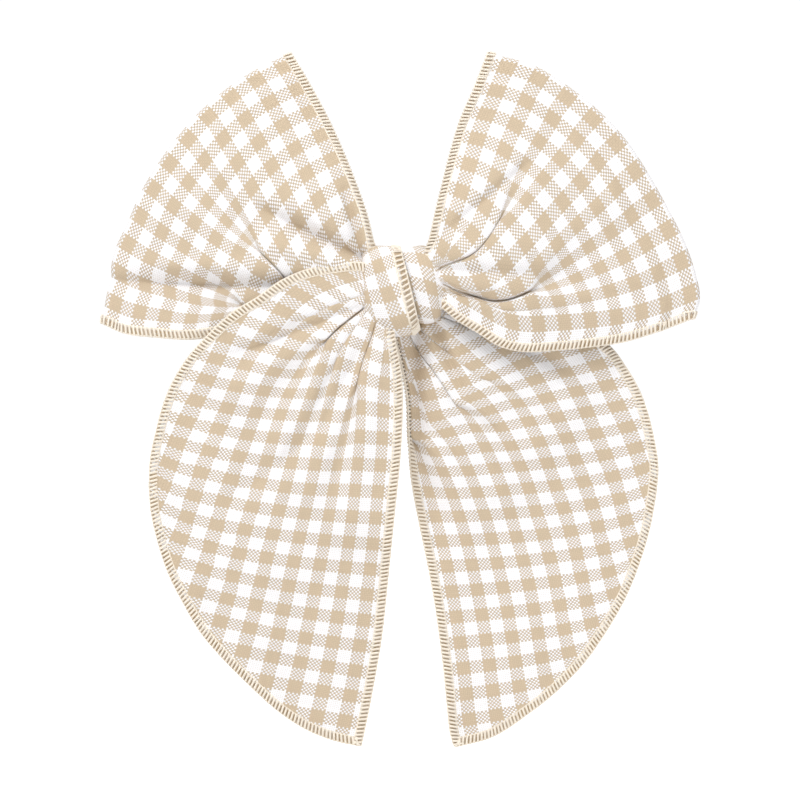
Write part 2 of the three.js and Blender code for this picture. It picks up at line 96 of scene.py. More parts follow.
def smooth_line(points: list[tuple[float, ...]], steps: int = 40) -> np.ndarray:
    """Draws a centripetal Catmull-Rom curve through given points.

    Args:
        points: the points, in order, in any number of dimensions.
        steps: samples on each stretch between two points.

    Returns:
        The samples, one row each.
    """
    given = np.asarray(points, float)
    ends = np.vstack([2 * given[0] - given[1], given, 2 * given[-1] - given[-2]])
    runs = []
    for a, b, c, d in zip(ends, ends[1:], ends[2:], ends[3:]):
        tb = np.linalg.norm(b - a) ** 0.5
        tc = tb + np.linalg.norm(c - b) ** 0.5
        td = tc + np.linalg.norm(d - c) ** 0.5
        t = (tb + (tc - tb) * np.linspace(0, 1, steps, endpoint=False))[:, None]
        ab = (tb - t) / tb * a + t / tb * b
        bc = (tc - t) / (tc - tb) * b + (t - tb) / (tc - tb) * c
        cd = (td - t) / (td - tc) * c + (t - tc) / (td - tc) * d
        abc = (tc - t) / tc * ab + t / tc * bc
        bcd = (td - t) / (td - tb) * bc + (t - tb) / (td - tb) * cd
        runs.append((tc - t) / (tc - tb) * abc + (t - tb) / (tc - tb) * bcd)
    runs.append(ends[-2][None])
    return np.vstack(runs)


def evenly(line: np.ndarray, count: int) -> np.ndarray:
    """Resamples a line at equal steps of its length."""
    return at_share(line, np.linspace(0, 1, count))


def at_share(line: np.ndarray, share: np.ndarray) -> np.ndarray:
    """Gives the points of a line at the given shares of its length."""
    run = np.r_[0, np.cumsum(np.linalg.norm(np.diff(line, axis=0), axis=1))]
    return np.stack([np.interp(share * run[-1], run, column) for column in line.T], axis=1)


def stretched_patch(
    first: np.ndarray,
    second: np.ndarray,
    root: np.ndarray,
    rim: np.ndarray,
    share: np.ndarray,
) -> np.ndarray:
    """Fills the space between four border lines with an even grid (a Coons patch).

    Args:
        first: the border at the start of each row, out from the root.
        second: the border at the end of each row.
        root: the first row.
        rim: the last row.
        share: how far out each row is, from 0 to 1.

    Returns:
        The grid, indexed by row and then by place in the row.
    """
    out = share[:, None, None]
    across = np.linspace(0, 1, len(root))[None, :, None]
    a, b = first[:, None], second[:, None]
    r, m = root[None], rim[None]
    corners = (
        (1 - out) * (1 - across) * root[0]
        + (1 - out) * across * root[-1]
        + out * (1 - across) * rim[0]
        + out * across * rim[-1]
    )
    return (1 - across) * a + across * b + (1 - out) * r + out * m - corners


def smoothstep(x: np.ndarray | float) -> np.ndarray | float:
    """Eases from 0 to 1 as x goes from 0 to 1."""
    x = np.clip(x, 0.0, 1.0)
    return x * x * (3 - 2 * x)


# ---------------------------------------------------------------- the cloth's own behaviour


@dataclass(frozen=True)
class Pleat:
    """A gather that starts at the knot: its place across the cloth, and how far out it reaches."""

    place: float
    reach: float


@dataclass(frozen=True)
class Crease:
    """A soft line pressed into the cloth, deeper into the bow where depth is above zero.

    Where lip is above zero, the cloth to the left of the line, seen from its start, stands up over it
    by that much, so the line is a fold that laps over what lies on its right.
    """

    start: tuple[float, float]
    end: tuple[float, float]
    depth: float
    width: float
    lip: float = 0.0


class Layer(Enum):
    """Which way a layer's pleats push: away from the viewer, or towards them."""

    FRONT = 1.0
    BACK = -1.0


FINE_SAMPLES = 8
FIT_STEPS = 30
STEEPEST = 0.998
PLEAT_SHARPNESS = 16.0
PLEAT_SOFTNESS = 0.45
PLEAT_TIP = 0.02
GENTLE_GAIN = 1.3
LIP_EDGE = 0.45
LIP_SPREAD = 2.6


def gather_rows(
    grid: np.ndarray,
    flat_width: np.ndarray,
    pleats: list[Pleat],
    layer: Layer,
    heights: np.ndarray,
) -> np.ndarray:
    """Folds each row of a grid in depth until the cloth's whole width fits along it.

    Args:
        grid: the layer's places as (x, depth, z), row by row out from the knot.
        flat_width: the cloth's cut width along each row.
        pleats: where the folds form.
        layer: which way they push.
        heights: the most that the folds may stand up in each row.

    Returns:
        The grid with its pleats.
    """
    made = grid.copy()
    columns = grid.shape[1]
    samples = FINE_SAMPLES * columns
    share = (np.arange(samples) + 0.5) / samples
    marks = np.linspace(0, 1, columns)
    places = np.array([p.place for p in pleats])
    each = [p.reach - PLEAT_SHARPNESS * np.abs(share - p.place) for p in pleats]
    hills, nearest = np.max(each, axis=0), np.argmax(each, axis=0)
    side = np.tanh((places[nearest] - share) / PLEAT_TIP)
    for i, row in enumerate(grid):
        run = np.r_[0, np.cumsum(np.linalg.norm(np.diff(row[:, [0, 2]], axis=0), axis=1))]
        ratio = run[-1] / flat_width[i]
        if ratio >= 1:
            continue
        steepest = min(STEEPEST, GENTLE_GAIN * math.sqrt(1 - ratio * ratio))
        low, high = hills.min() - 1.0, hills.max() + 0.1
        for _ in range(FIT_STEPS):
            level = (low + high) / 2
            slope = steepest * smoothstep((hills - level) / PLEAT_SOFTNESS)
            covers = np.mean(np.sqrt(1 - slope**2)) > ratio
            low, high = (low, level) if covers else (level, high)
        step = flat_width[i] / len(share)
        over = np.r_[0, np.cumsum(np.sqrt(1 - slope**2))]
        over *= run[-1] / over[-1]
        deep = np.r_[0, np.cumsum(slope * side * step)]
        deep -= np.linspace(deep[0], deep[-1], len(deep))
        tall = deep.max() - deep.min()
        deep = (deep - deep.max()) * min(1.0, heights[i] / max(tall, 1e-6))
        edges = np.linspace(0, 1, len(deep))
        place = np.interp(marks, edges, over)
        for axis in (0, 1, 2):
            made[i, :, axis] = np.interp(place, run, row[:, axis])
        made[i, :, 1] += layer.value * np.interp(marks, edges, deep)
    return made


def press_creases(grid: np.ndarray, creases: list[Crease]) -> np.ndarray:
    """Presses crease lines into a grid.

    Args:
        grid: the grid of places.
        creases: the lines.

    Returns:
        The creased grid.
    """
    made = grid.copy()
    flat = made[..., [0, 2]]
    for crease in creases:
        start, end = np.array(crease.start), np.array(crease.end)
        run = end - start
        along = np.clip(((flat - start) @ run) / (run @ run), 0, 1)
        off = np.linalg.norm(flat - (start + along[..., None] * run), axis=-1)
        fade = np.sin(np.pi * np.clip(0.12 + 0.88 * along, 0, 1)) ** 0.6
        across = np.exp(-((off / crease.width) ** CREASE_FALLOFF))
        made[..., 1] += crease.depth * fade * across
        if crease.lip:
            ahead = (flat - start) @ np.array([-run[1], run[0]]) / np.linalg.norm(run)
            step = 0.5 + 0.5 * np.tanh(ahead / LIP_EDGE)
            wide = np.exp(-((off / (LIP_SPREAD * crease.width)) ** CREASE_FALLOFF))
            made[..., 1] -= crease.lip * fade * step * wide
    return made


# ---------------------------------------------------------------- meshes


def mark_edges(piece: bpy.types.Object, distance: np.ndarray) -> None:
    """Stores how far each vertex is from a stitched edge, in millimetres, for the cloth's finish to read."""
    attribute = piece.data.attributes.new(EDGE_MARK, "FLOAT", "POINT")
    attribute.data.foreach_set("value", distance.astype(np.float32).ravel())


def mesh_piece(
    name: str,
    verts: np.ndarray,
    faces: list[tuple[int, ...]],
    uv: np.ndarray | None = None,
) -> bpy.types.Object:
    """Makes an object at the origin from millimetre places.

    Args:
        name: the piece's name.
        verts: its vertices in millimetres.
        faces: its faces as vertex numbers.
        uv: a flat cloth place for each vertex, in millimetres, or nothing.

    Returns:
        The new object, linked to the scene and shaded smooth.
    """
    mesh = bpy.data.meshes.new(name)
    mesh.from_pydata((np.asarray(verts) * MM).tolist(), [], faces)
    if uv is not None:
        layer = mesh.uv_layers.new(name=CLOTH_UV)
        corner = np.empty(len(mesh.loops), np.int32)
        mesh.loops.foreach_get("vertex_index", corner)
        layer.data.foreach_set("uv", (uv[corner] / UV_SPAN).astype(np.float32).ravel())
    mesh.shade_smooth()
    piece = bpy.data.objects.new(name, mesh)
    bpy.context.scene.collection.objects.link(piece)
    return piece


def flat_area(flat: np.ndarray) -> float:
    """Adds up the area of a grid on the flat cloth, in square millimetres."""
    one, other = flat[1:, 1:] - flat[:-1, :-1], flat[1:, :-1] - flat[:-1, 1:]
    return 0.5 * float(np.abs(one[..., 0] * other[..., 1] - one[..., 1] * other[..., 0]).sum())


def grid_faces(rows: int, columns: int, wrap: bool = False) -> list[tuple[int, int, int, int]]:
    """Lists the quads of a grid of points, joined into a tube across its rows when wrap is set."""
    last = columns if wrap else columns - 1
    return [
        (
            i * columns + j,
            i * columns + (j + 1) % columns,
            (i + 1) * columns + (j + 1) % columns,
            (i + 1) * columns + j,
        )
        for i in range(rows - 1)
        for j in range(last)
    ]


def thicken(piece: bpy.types.Object, thickness: float) -> None:
    """Gives a sheet a fine surface and a cloth's thickness, as live modifiers."""
    fine = piece.modifiers.new("Fine surface", "SUBSURF")
    fine.levels = SURFACE_LEVELS
    fine.render_levels = SURFACE_LEVELS
    wall = piece.modifiers.new("Cloth thickness", "SOLIDIFY")
    wall.thickness = thickness * MM
    wall.offset = 0.0
    wall.use_even_offset = False


def outward(piece: bpy.types.Object) -> None:
    """Merges doubles and turns every face of a closed mesh outwards."""
    body = bmesh.new()
    body.from_mesh(piece.data)
    bmesh.ops.remove_doubles(body, verts=body.verts, dist=MERGE_WITHIN)
    bmesh.ops.recalc_face_normals(body, faces=body.faces)
    body.to_mesh(piece.data)
    body.free()


# ---------------------------------------------------------------- finishes


class Graph:
    """A material's node tree, with short ways to add and join nodes."""

    def __init__(self, name: str) -> None:
        """Starts an empty material with an output and a shader."""
        self.material = bpy.data.materials.new(name)
        self.material.use_nodes = True
        self.nodes = self.material.node_tree.nodes
        self.links = self.material.node_tree.links
        self.shader = self.nodes["Principled BSDF"]

    def add(self, kind: str, **settings: object) -> bpy.types.Node:
        """Adds a node and sets its properties."""
        node = self.nodes.new(kind)
        for key, value in settings.items():
            setattr(node, key, value)
        return node

    def join(self, source: Socket, target: Socket) -> None:
        """Links an output to an input."""
        self.links.new(source, target)

    def maths(self, operation: str, *inputs: object) -> Socket:
        """Adds a maths node fed by sockets or numbers and returns its output."""
        node = self.add("ShaderNodeMath", operation=operation)
        for socket, value in zip(node.inputs, inputs):
            if isinstance(value, Socket):
                self.join(value, socket)
            else:
                socket.default_value = value
        return node.outputs[0]

    def blend(self, share: object, first: object, second: object) -> Socket:
        """Mixes two colours and returns the result."""
        node = self.add("ShaderNodeMix", data_type="RGBA")
        for slot, value in ((0, share), (6, first), (7, second)):
            if isinstance(value, Socket):
                self.join(value, node.inputs[slot])
            else:
                node.inputs[slot].default_value = value
        return node.outputs[2]

    def values(self, **given: float) -> None:
        """Sets plain values on the shader: Sheen_Weight stands for the input named Sheen Weight."""
        for key, value in given.items():
            self.shader.inputs[key.replace("_", " ")].default_value = value

    def noise(self, vector: Socket, scale: float, detail: float = 2.0) -> Socket:
        """Adds a noise texture and returns its value."""
        node = self.add("ShaderNodeTexNoise")
        node.inputs["Scale"].default_value = scale
        node.inputs["Detail"].default_value = detail
        self.join(vector, node.inputs["Vector"])
        return node.outputs["Fac"]

    def bump(self, height: Socket, distance: float, strength: float = 1.0) -> None:
        """Feeds a height to the shader's normal."""
        node = self.add("ShaderNodeBump")
        node.inputs["Distance"].default_value = distance
        node.inputs["Strength"].default_value = strength
        self.join(height, node.inputs["Height"])
        self.join(node.outputs["Normal"], self.shader.inputs["Normal"])


def tint(red: int, green: int, blue: int) -> tuple[float, float, float, float]:
    """Turns a screen colour into the linear colour that a shader takes."""
    linear = [
        c / 255 / 12.92 if c <= 10 else ((c / 255 + 0.055) / 1.055) ** 2.4
        for c in (red, green, blue)
    ]
    return (*linear, 1.0)


@dataclass(frozen=True)
class GinghamFinish:
    """Plain-woven cotton with equal tan and white stripes in both directions."""

    name: str = "gingham_cotton"
    stripe_threads: int = 7
    check_along: float = 6.85
    check_across: float = 7.2
    tan: tuple[float, float, float, float] = tint(204, 185, 159)
    white: tuple[float, float, float, float] = tint(248, 247, 249)
    # band by the serged edges: painted shadow of the overlock thread, with the cloth's darker rolled edge
    stitched_band: tuple[float, float] = (1.5, 2.1)
    stitch_shadow: float = 0.8
    edge_and_stitch_shadow_colour: tuple[float, float, float, float] = tint(190, 168, 138)
    gap_start: float = 0.09
    gap_gain: float = 4.5
    gap_most: float = 0.55
    # painted shade in the holes between crossing threads
    gap_shade_colour: tuple[float, float, float, float] = tint(168, 142, 108)
    shade_base: float = 0.925
    thread_spread: float = 0.05
    cloud_scale: float = 0.09
    cloud_spread: float = 0.05
    # painted light and shade: upper threads lighter than lower ones, mixed squares darker for the shade in
    # their gaps
    upper_thread_light: float = 0.05
    mixed_gap_shade: float = -0.06

    def threads(self, graph: Graph, place: Socket, check: float) -> tuple[Socket, ...]:
        """Counts threads one way.

        Args:
            graph: the material.
            place: the place across those threads, in millimetres.
            check: the length of a tan and a white stripe together.

        Returns:
            The thread's number, whether it is tan, and the place within it from -0.5 to 0.5.
        """
        pitch = check / (2 * self.stripe_threads)
        counted = graph.maths("DIVIDE", place, pitch)
        number = graph.maths("FLOOR", counted)
        inside = graph.maths("SUBTRACT", graph.maths("SUBTRACT", counted, number), 0.5)
        turn = graph.maths("FLOORED_MODULO", number, 2.0 * self.stripe_threads)
        return number, graph.maths("LESS_THAN", turn, self.stripe_threads - 0.5), inside

    def material(self) -> bpy.types.Material:
        """Builds the weave: threads over and under each other, each with its own colour and roundness, with
        painted shade in the gaps, on the lower threads and under the edge stitching.
        """
        graph = Graph(self.name)
        flat = graph.add("ShaderNodeUVMap", uv_map=CLOTH_UV).outputs["UV"]
        scaled = graph.add("ShaderNodeVectorMath", operation="SCALE")
        scaled.inputs["Scale"].default_value = UV_SPAN
        graph.join(flat, scaled.inputs[0])
        parts = graph.add("ShaderNodeSeparateXYZ")
        graph.join(scaled.outputs[0], parts.inputs[0])
        weft, weft_tan, weft_in = self.threads(graph, parts.outputs["X"], self.check_along)
        warp, warp_tan, warp_in = self.threads(graph, parts.outputs["Y"], self.check_across)
        over = graph.maths("FLOORED_MODULO", graph.maths("ADD", weft, warp), 2.0)
        over = graph.maths("GREATER_THAN", over, 0.5)
        tan_here = graph.maths(
            "ADD",
            graph.maths("MULTIPLY", over, warp_tan),
            graph.maths("MULTIPLY", graph.maths("SUBTRACT", 1.0, over), weft_tan),
        )
        colour = graph.blend(tan_here, self.white, self.tan)
        mixed = graph.maths("ABSOLUTE", graph.maths("SUBTRACT", warp_tan, weft_tan))
        colour = self.uneven(graph, colour, scaled.outputs[0], weft, warp, over, mixed)
        colour = self.shaded_gaps(graph, colour, weft_in, warp_in)
        colour = self.under_stitches(graph, colour)
        graph.join(colour, graph.shader.inputs["Base Color"])
        graph.values(Roughness=0.9, Sheen_Weight=0.12, Sheen_Roughness=0.6, Specular_IOR_Level=0.25)
        graph.bump(self.relief(graph, weft_in, warp_in, over), 0.00008, 0.55)
        return graph.material

    def uneven(
        self,
        graph: Graph,
        colour: Socket,
        place: Socket,
        weft: Socket,
        warp: Socket,
        over: Socket,
        mixed: Socket,
    ) -> Socket:
        """Lets single threads and whole areas differ a little in tone, as dyed cotton does, and paints
        shade: each lower thread darker than the upper one at its crossing, and the mixed squares darker for
        the shade in their gaps.
        """
        picks = []
        for number in (weft, warp):
            speck = graph.add("ShaderNodeTexWhiteNoise", noise_dimensions="1D")
            graph.join(number, speck.inputs["W"])
            picks.append(speck.outputs["Value"])
        own = graph.add("ShaderNodeMix", data_type="FLOAT")
        graph.join(over, own.inputs[0])
        graph.join(picks[0], own.inputs[2])
        graph.join(picks[1], own.inputs[3])
        cloudy = graph.noise(place, self.cloud_scale, 3.0)
        shade = graph.maths("MULTIPLY_ADD", own.outputs[0], self.thread_spread, self.shade_base)
        shade = graph.maths("MULTIPLY_ADD", cloudy, self.cloud_spread, shade)
        # painted shade: lower threads darker than upper ones, and the mixed squares darker in their gaps
        shade = graph.maths("MULTIPLY_ADD", over, self.upper_thread_light, shade)
        shade = graph.maths("MULTIPLY_ADD", mixed, self.mixed_gap_shade, shade)
        lit = graph.add("ShaderNodeVectorMath", operation="SCALE")
        graph.join(colour, lit.inputs[0])
        graph.join(shade, lit.inputs["Scale"])
        return lit.outputs[0]

    def shaded_gaps(self, graph: Graph, colour: Socket, weft_in: Socket, warp_in: Socket) -> Socket:
        """Paints shade into the little holes between crossing threads."""
        near = graph.maths("MULTIPLY", graph.maths("ABSOLUTE", weft_in), graph.maths("ABSOLUTE", warp_in))
        hole = graph.maths("MULTIPLY", graph.maths("SUBTRACT", near, self.gap_start), self.gap_gain)
        hole = graph.maths("MAXIMUM", hole, 0.0)
        # painted shade: the holes between threads darkened towards the gap colour
        return graph.blend(graph.maths("MINIMUM", hole, self.gap_most), colour, self.gap_shade_colour)

    def under_stitches(self, graph: Graph, colour: Socket) -> Socket:
        """Darkens the cloth beneath the overlock thread along its edges: painted shadow of the thread,
        together with the cloth's darker rolled edge beneath it.
        """
        near, far = self.stitched_band
        distance = graph.add("ShaderNodeAttribute", attribute_name=EDGE_MARK).outputs["Fac"]
        band = graph.add("ShaderNodeMapRange", interpolation_type="SMOOTHSTEP")
        graph.join(distance, band.inputs["Value"])
        band.inputs["From Min"].default_value = near
        band.inputs["From Max"].default_value = far
        band.inputs["To Min"].default_value = self.stitch_shadow
        band.inputs["To Max"].default_value = 0.0
        # painted shadow of the overlock thread, mixed with the cloth's darker rolled edge
        return graph.blend(band.outputs["Result"], colour, self.edge_and_stitch_shadow_colour)

    def relief(self, graph: Graph, weft_in: Socket, warp_in: Socket, over: Socket) -> Socket:
        """Raises each crossing where its upper thread bows over the lower one."""
        rounds = [
            graph.maths("COSINE", graph.maths("MULTIPLY", place, turn))
            for place, turn in ((warp_in, 3.0), (weft_in, 1.7))
        ]
        warp_up = graph.maths("MULTIPLY", rounds[0], rounds[1])
        rounds = [
            graph.maths("COSINE", graph.maths("MULTIPLY", place, turn))
            for place, turn in ((weft_in, 3.0), (warp_in, 1.7))
        ]
        weft_up = graph.maths("MULTIPLY", rounds[0], rounds[1])
        mixed = graph.add("ShaderNodeMix", data_type="FLOAT")
        graph.join(over, mixed.inputs[0])
        graph.join(weft_up, mixed.inputs[2])
        graph.join(warp_up, mixed.inputs[3])
        return mixed.outputs[0]


@dataclass(frozen=True)
class ThreadFinish:
    """Spun sewing thread, lightly fuzzy and uneven."""

    name: str
    colour: tuple[float, float, float, float]
    shade: tuple[float, float, float, float]

    def material(self) -> bpy.types.Material:
        """Builds the thread's finish from noise in its own place."""
        graph = Graph(self.name)
        place = graph.add("ShaderNodeTexCoord").outputs["Object"]
        mottle = graph.noise(place, 900.0, 2.0)
        graph.join(graph.blend(mottle, self.colour, self.shade), graph.shader.inputs["Base Color"])
        graph.values(Roughness=0.8, Sheen_Weight=0.2, Specular_IOR_Level=0.3)
        graph.bump(graph.noise(place, 5200.0, 3.0), 0.00004, 0.5)
        return graph.material


@dataclass(frozen=True)
class SteelFinish:
    """Nickel-plated pressed steel with fine drawn lines and cloudy dull patches."""

    name: str
    colour: tuple[float, float, float, float] = tint(176, 177, 178)
    dull_colour: tuple[float, float, float, float] = tint(118, 117, 114)
    roughness: float = 0.24
    line_scale: tuple[float, float, float] = (60.0, 2600.0, 2600.0)
    cloud_scale: float = 160.0
    dulling: float = 0.35

    def material(self) -> bpy.types.Material:
        """Builds the plated metal, its streaks running along the clip."""
        graph = Graph(self.name)
        place = graph.add("ShaderNodeTexCoord").outputs["Object"]
        drawn = graph.add("ShaderNodeMapping")
        drawn.inputs["Scale"].default_value = self.line_scale
        graph.join(place, drawn.inputs["Vector"])
        streaks = graph.noise(drawn.outputs["Vector"], 1.0, 4.0)
        cloud = graph.noise(place, self.cloud_scale, 3.0)
        dull = graph.blend(graph.maths("MULTIPLY", cloud, self.dulling), self.colour, self.dull_colour)
        graph.join(dull, graph.shader.inputs["Base Color"])
        graph.values(Metallic=1.0)
        rough = graph.maths("MULTIPLY_ADD", streaks, 0.16, self.roughness - 0.06)
        graph.join(rough, graph.shader.inputs["Roughness"])
        graph.bump(streaks, 0.000004, 0.25)
        return graph.material


@dataclass(frozen=True)
class RibbonFinish:
    """Grosgrain ribbon: fine ribs straight across its length."""

    name: str = "lining_ribbon"
    rib: float = 0.62
    colour: tuple[float, float, float, float] = tint(238, 226, 202)
    # painted shade in the troughs between the ribs
    shade: tuple[float, float, float, float] = tint(206, 188, 156)

    def material(self) -> bpy.types.Material:
        """Builds the ribs from the place along the clip, with painted shade in the troughs between them."""
        graph = Graph(self.name)
        place = graph.add("ShaderNodeTexCoord").outputs["Object"]
        parts = graph.add("ShaderNodeSeparateXYZ")
        graph.join(place, parts.inputs[0])
        turn = graph.maths("MULTIPLY", parts.outputs["X"], 2 * math.pi / (self.rib * MM))
        # painted shade: darker in each rib's trough, lighter on its crest
        rib = graph.maths("MULTIPLY_ADD", graph.maths("COSINE", turn), 0.5, 0.5)
        graph.join(graph.blend(rib, self.shade, self.colour), graph.shader.inputs["Base Color"])
        graph.values(Roughness=0.7, Sheen_Weight=0.25)
        fuzz = graph.maths("MULTIPLY", graph.noise(place, 2400.0, 2.0), 0.3)
        graph.bump(graph.maths("ADD", rib, fuzz), 0.00012, 0.8)
        return graph.material


@dataclass(frozen=True)
class GlueFinish:
    """Set hot glue: milky, waxy, with slow ripples."""

    name: str = "glue"

    def material(self) -> bpy.types.Material:
        """Builds the glue's finish."""
        graph = Graph(self.name)
        place = graph.add("ShaderNodeTexCoord").outputs["Object"]
        ripple = graph.noise(place, 260.0, 2.0)
        graph.join(
            graph.blend(ripple, tint(236, 230, 214), tint(214, 206, 186)), graph.shader.inputs["Base Color"]
        )
        graph.values(Roughness=0.32, Subsurface_Weight=0.25, Subsurface_Scale=0.001)
        graph.bump(ripple, 0.0003, 0.6)
        return graph.material


@dataclass(frozen=True)
class PaperFinish:
    """The plain pale studio floor."""

    name: str = "studio_paper"

    def material(self) -> bpy.types.Material:
        """Builds a matt white with the least grain."""
        graph = Graph(self.name)
        place = graph.add("ShaderNodeTexCoord").outputs["Object"]
        grain = graph.noise(place, 40.0, 2.0)
        graph.join(
            graph.blend(grain, tint(253, 253, 253), tint(249, 249, 249)), graph.shader.inputs["Base Color"]
        )
        graph.values(Roughness=0.95)
        graph.shader.inputs["Emission Color"].default_value = (1.0, 1.0, 1.0, 1.0)
        seen = graph.add("ShaderNodeLightPath").outputs["Is Camera Ray"]
        graph.join(graph.maths("MULTIPLY", seen, 1.0), graph.shader.inputs["Emission Strength"])
        return graph.material


# ---------------------------------------------------------------- serging


@dataclass
class Serging:
    """Overlock stitches over a raw edge: a loop of thread at each, an outer bead and an inner chain."""

    name: str
    pitch: float = 1.05
    width: float = 2.1
    wrap: float = 0.95
    thread: float = 0.29
    bead: float = 0.26
    slant: float = 0.3
    corner_steps: int = 2
    thread_sides: int = 5
    bead_sides: int = 6
    rows: list[tuple[np.ndarray, np.ndarray, np.ndarray]] = field(default_factory=list)

    def measures(self) -> dict[str, float]:
        """Names the sizes that the stitching nodes take, in millimetres."""
        return {
            "Stitch width": self.width,
            "Wrap height": self.wrap,
            "Thread radius": self.thread,
            "Bead radius": self.bead,
        }

    def follow(self, line: np.ndarray, inside: np.ndarray) -> None:
        """Adds an edge to stitch over.

        Args:
            line: the edge's places in order, in millimetres.
            inside: a place in the cloth beside each of them.
        """
        run = np.r_[0, np.cumsum(np.linalg.norm(np.diff(line, axis=0), axis=1))]
        count = max(2, int(run[-1] / self.pitch) + 1)
        at = np.linspace(0, run[-1], count)
        spots = np.stack([np.interp(at, run, c) for c in line.T], axis=1)
        inner = np.stack([np.interp(at, run, c) for c in inside.T], axis=1)
        tangent = np.gradient(spots, axis=0)
        tangent /= np.linalg.norm(tangent, axis=1, keepdims=True)
        inward = inner - spots
        inward -= tangent * np.sum(inward * tangent, axis=1, keepdims=True)
        inward /= np.linalg.norm(inward, axis=1, keepdims=True)
        self.rows.append((spots, tangent, inward))

    def guide(self) -> bpy.types.Object:
        """Makes the guide: a vertex for each stitch, joined along the edge, with its directions."""
        spots = np.vstack([row[0] for row in self.rows])
        ends = np.cumsum([len(row[0]) for row in self.rows])
        breaks = set((ends - 1).tolist())
        mesh = bpy.data.meshes.new(self.name + "_guide")
        pairs = [(k, k + 1) for k in range(len(spots) - 1) if k not in breaks]
        mesh.from_pydata((spots * MM).tolist(), pairs, [])
        for key, column in (("along", 1), ("inward", 2)):
            values = np.vstack([row[column] for row in self.rows]).astype(np.float32)
            attribute = mesh.attributes.new(key, "FLOAT_VECTOR", "POINT")
            attribute.data.foreach_set("vector", values.ravel())
        guide = bpy.data.objects.new(self.name + "_guide", mesh)
        bpy.context.scene.collection.objects.link(guide)
        return guide

    def tree(self, material: bpy.types.Material) -> bpy.types.GeometryNodeTree:
        """Builds the stitching nodes: loops of thread on the guide's points, a bead and a chain along it."""
        tree = bpy.data.node_groups.new(self.name + "_stitching", "GeometryNodeTree")
        face = tree.interface
        face.new_socket("Geometry", in_out="INPUT", socket_type="NodeSocketGeometry")
        self.sizes = {}
        for label, value in self.measures().items():
            socket = face.new_socket(label, in_out="INPUT", socket_type="NodeSocketFloat")
            socket.default_value = value * MM
            self.sizes[label] = socket.identifier
        face.new_socket("Geometry", in_out="OUTPUT", socket_type="NodeSocketGeometry")

        def step(kind: str, feeds: dict[str | int, object], **settings: object) -> bpy.types.Node:
            """Adds a node with its properties, and links or sets the inputs that feeds names."""
            node = tree.nodes.new(kind)
            for key, value in settings.items():
                setattr(node, key, value)
            for key, value in feeds.items():
                if isinstance(value, Socket):
                    tree.links.new(value, node.inputs[key])
                else:
                    node.inputs[key].default_value = value
            return node

        given = step("NodeGroupInput", {}).outputs
        width, bead = given["Stitch width"], given["Bead radius"]
        loop = step(
            "GeometryNodeCurvePrimitiveQuadrilateral", {"Width": width, "Height": given["Wrap height"]}
        )
        corners = {"Curve": loop.outputs["Curve"], "Count": self.corner_steps, "Radius": bead}
        rounded = step("GeometryNodeFilletCurve", corners, mode="POLY")
        thin = {"Resolution": self.thread_sides, "Radius": given["Thread radius"]}
        section = step("GeometryNodeCurvePrimitiveCircle", thin)
        swept = {"Curve": rounded.outputs["Curve"], "Profile Curve": section.outputs["Curve"]}
        thread = step("GeometryNodeCurveToMesh", swept)
        half = step("ShaderNodeMath", {0: width, 1: 0.5}, operation="MULTIPLY")
        shift = step("ShaderNodeCombineXYZ", {"X": half.outputs[0]})
        moved = {"Geometry": thread.outputs["Mesh"], "Translation": shift.outputs[0]}
        stood = step("GeometryNodeTransform", moved)

        inward, along = (
            step(
                "GeometryNodeInputNamedAttribute", {"Name": key}, data_type="FLOAT_VECTOR"
            ).outputs["Attribute"]
            for key in ("inward", "along")
        )
        leaning = {0: along, 1: (self.slant,) * 3, 2: inward}
        lean = step("ShaderNodeVectorMath", leaning, operation="MULTIPLY_ADD")
        ways = {"Primary Axis": lean.outputs[0], "Secondary Axis": along}
        turn = step("FunctionNodeAxesToRotation", ways, primary_axis="X", secondary_axis="Z")
        spots = {
            "Points": given["Geometry"],
            "Instance": stood.outputs["Geometry"],
            "Rotation": turn.outputs["Rotation"],
        }
        placed = step("GeometryNodeInstanceOnPoints", spots)

        rope = step("GeometryNodeCurvePrimitiveCircle", {"Resolution": self.bead_sides, "Radius": bead})
        inset = step("ShaderNodeVectorMath", {0: inward, "Scale": width}, operation="SCALE")
        inner = step("GeometryNodeSetPosition", {"Geometry": given["Geometry"], "Offset": inset.outputs[0]})
        parts = [placed.outputs["Instances"]]
        for edge in (given["Geometry"], inner.outputs["Geometry"]):
            line = step("GeometryNodeMeshToCurve", {"Mesh": edge})
            run = {
                "Curve": line.outputs["Curve"], "Profile Curve": rope.outputs["Curve"], "Fill Caps": True
            }
            parts.append(step("GeometryNodeCurveToMesh", run).outputs["Mesh"])
        both = step("GeometryNodeJoinGeometry", {})
        for part in parts:
            tree.links.new(part, both.inputs["Geometry"])
        real = step("GeometryNodeRealizeInstances", {"Geometry": both.outputs["Geometry"]})
        dressed = step(
            "GeometryNodeSetMaterial", {"Geometry": real.outputs["Geometry"], "Material": material}
        )
        step("NodeGroupOutput", {"Geometry": dressed.outputs["Geometry"]})
        return tree

    def build(self, material: bpy.types.Material, nodes: list[str]) -> bpy.types.Object:
        """Stitches the edge.

        Args:
            material: the thread's finish.
            nodes: the CAD nodes that the stitches stand for.

        Returns:
            The stitching as one plain mesh.
        """
        guide = self.guide()
        modifier = guide.modifiers.new("Stitching", "NODES")
        modifier.node_group = self.tree(material)
        for label, value in self.measures().items():
            modifier[self.sizes[label]] = value * MM
        depsgraph = bpy.context.evaluated_depsgraph_get()
        mesh = bpy.data.meshes.new_from_object(guide.evaluated_get(depsgraph))
        bpy.data.objects.remove(guide)
        mesh.name = self.name
        mesh.shade_smooth()
        piece = bpy.data.objects.new(self.name, mesh)
        bpy.context.scene.collection.objects.link(piece)
        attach(piece, BOW_BODY)
        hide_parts(*nodes)
        log.info("%s: %d stitches", self.name, sum(len(row[0]) for row in self.rows))
        return piece


# ---------------------------------------------------------------- cloth panels


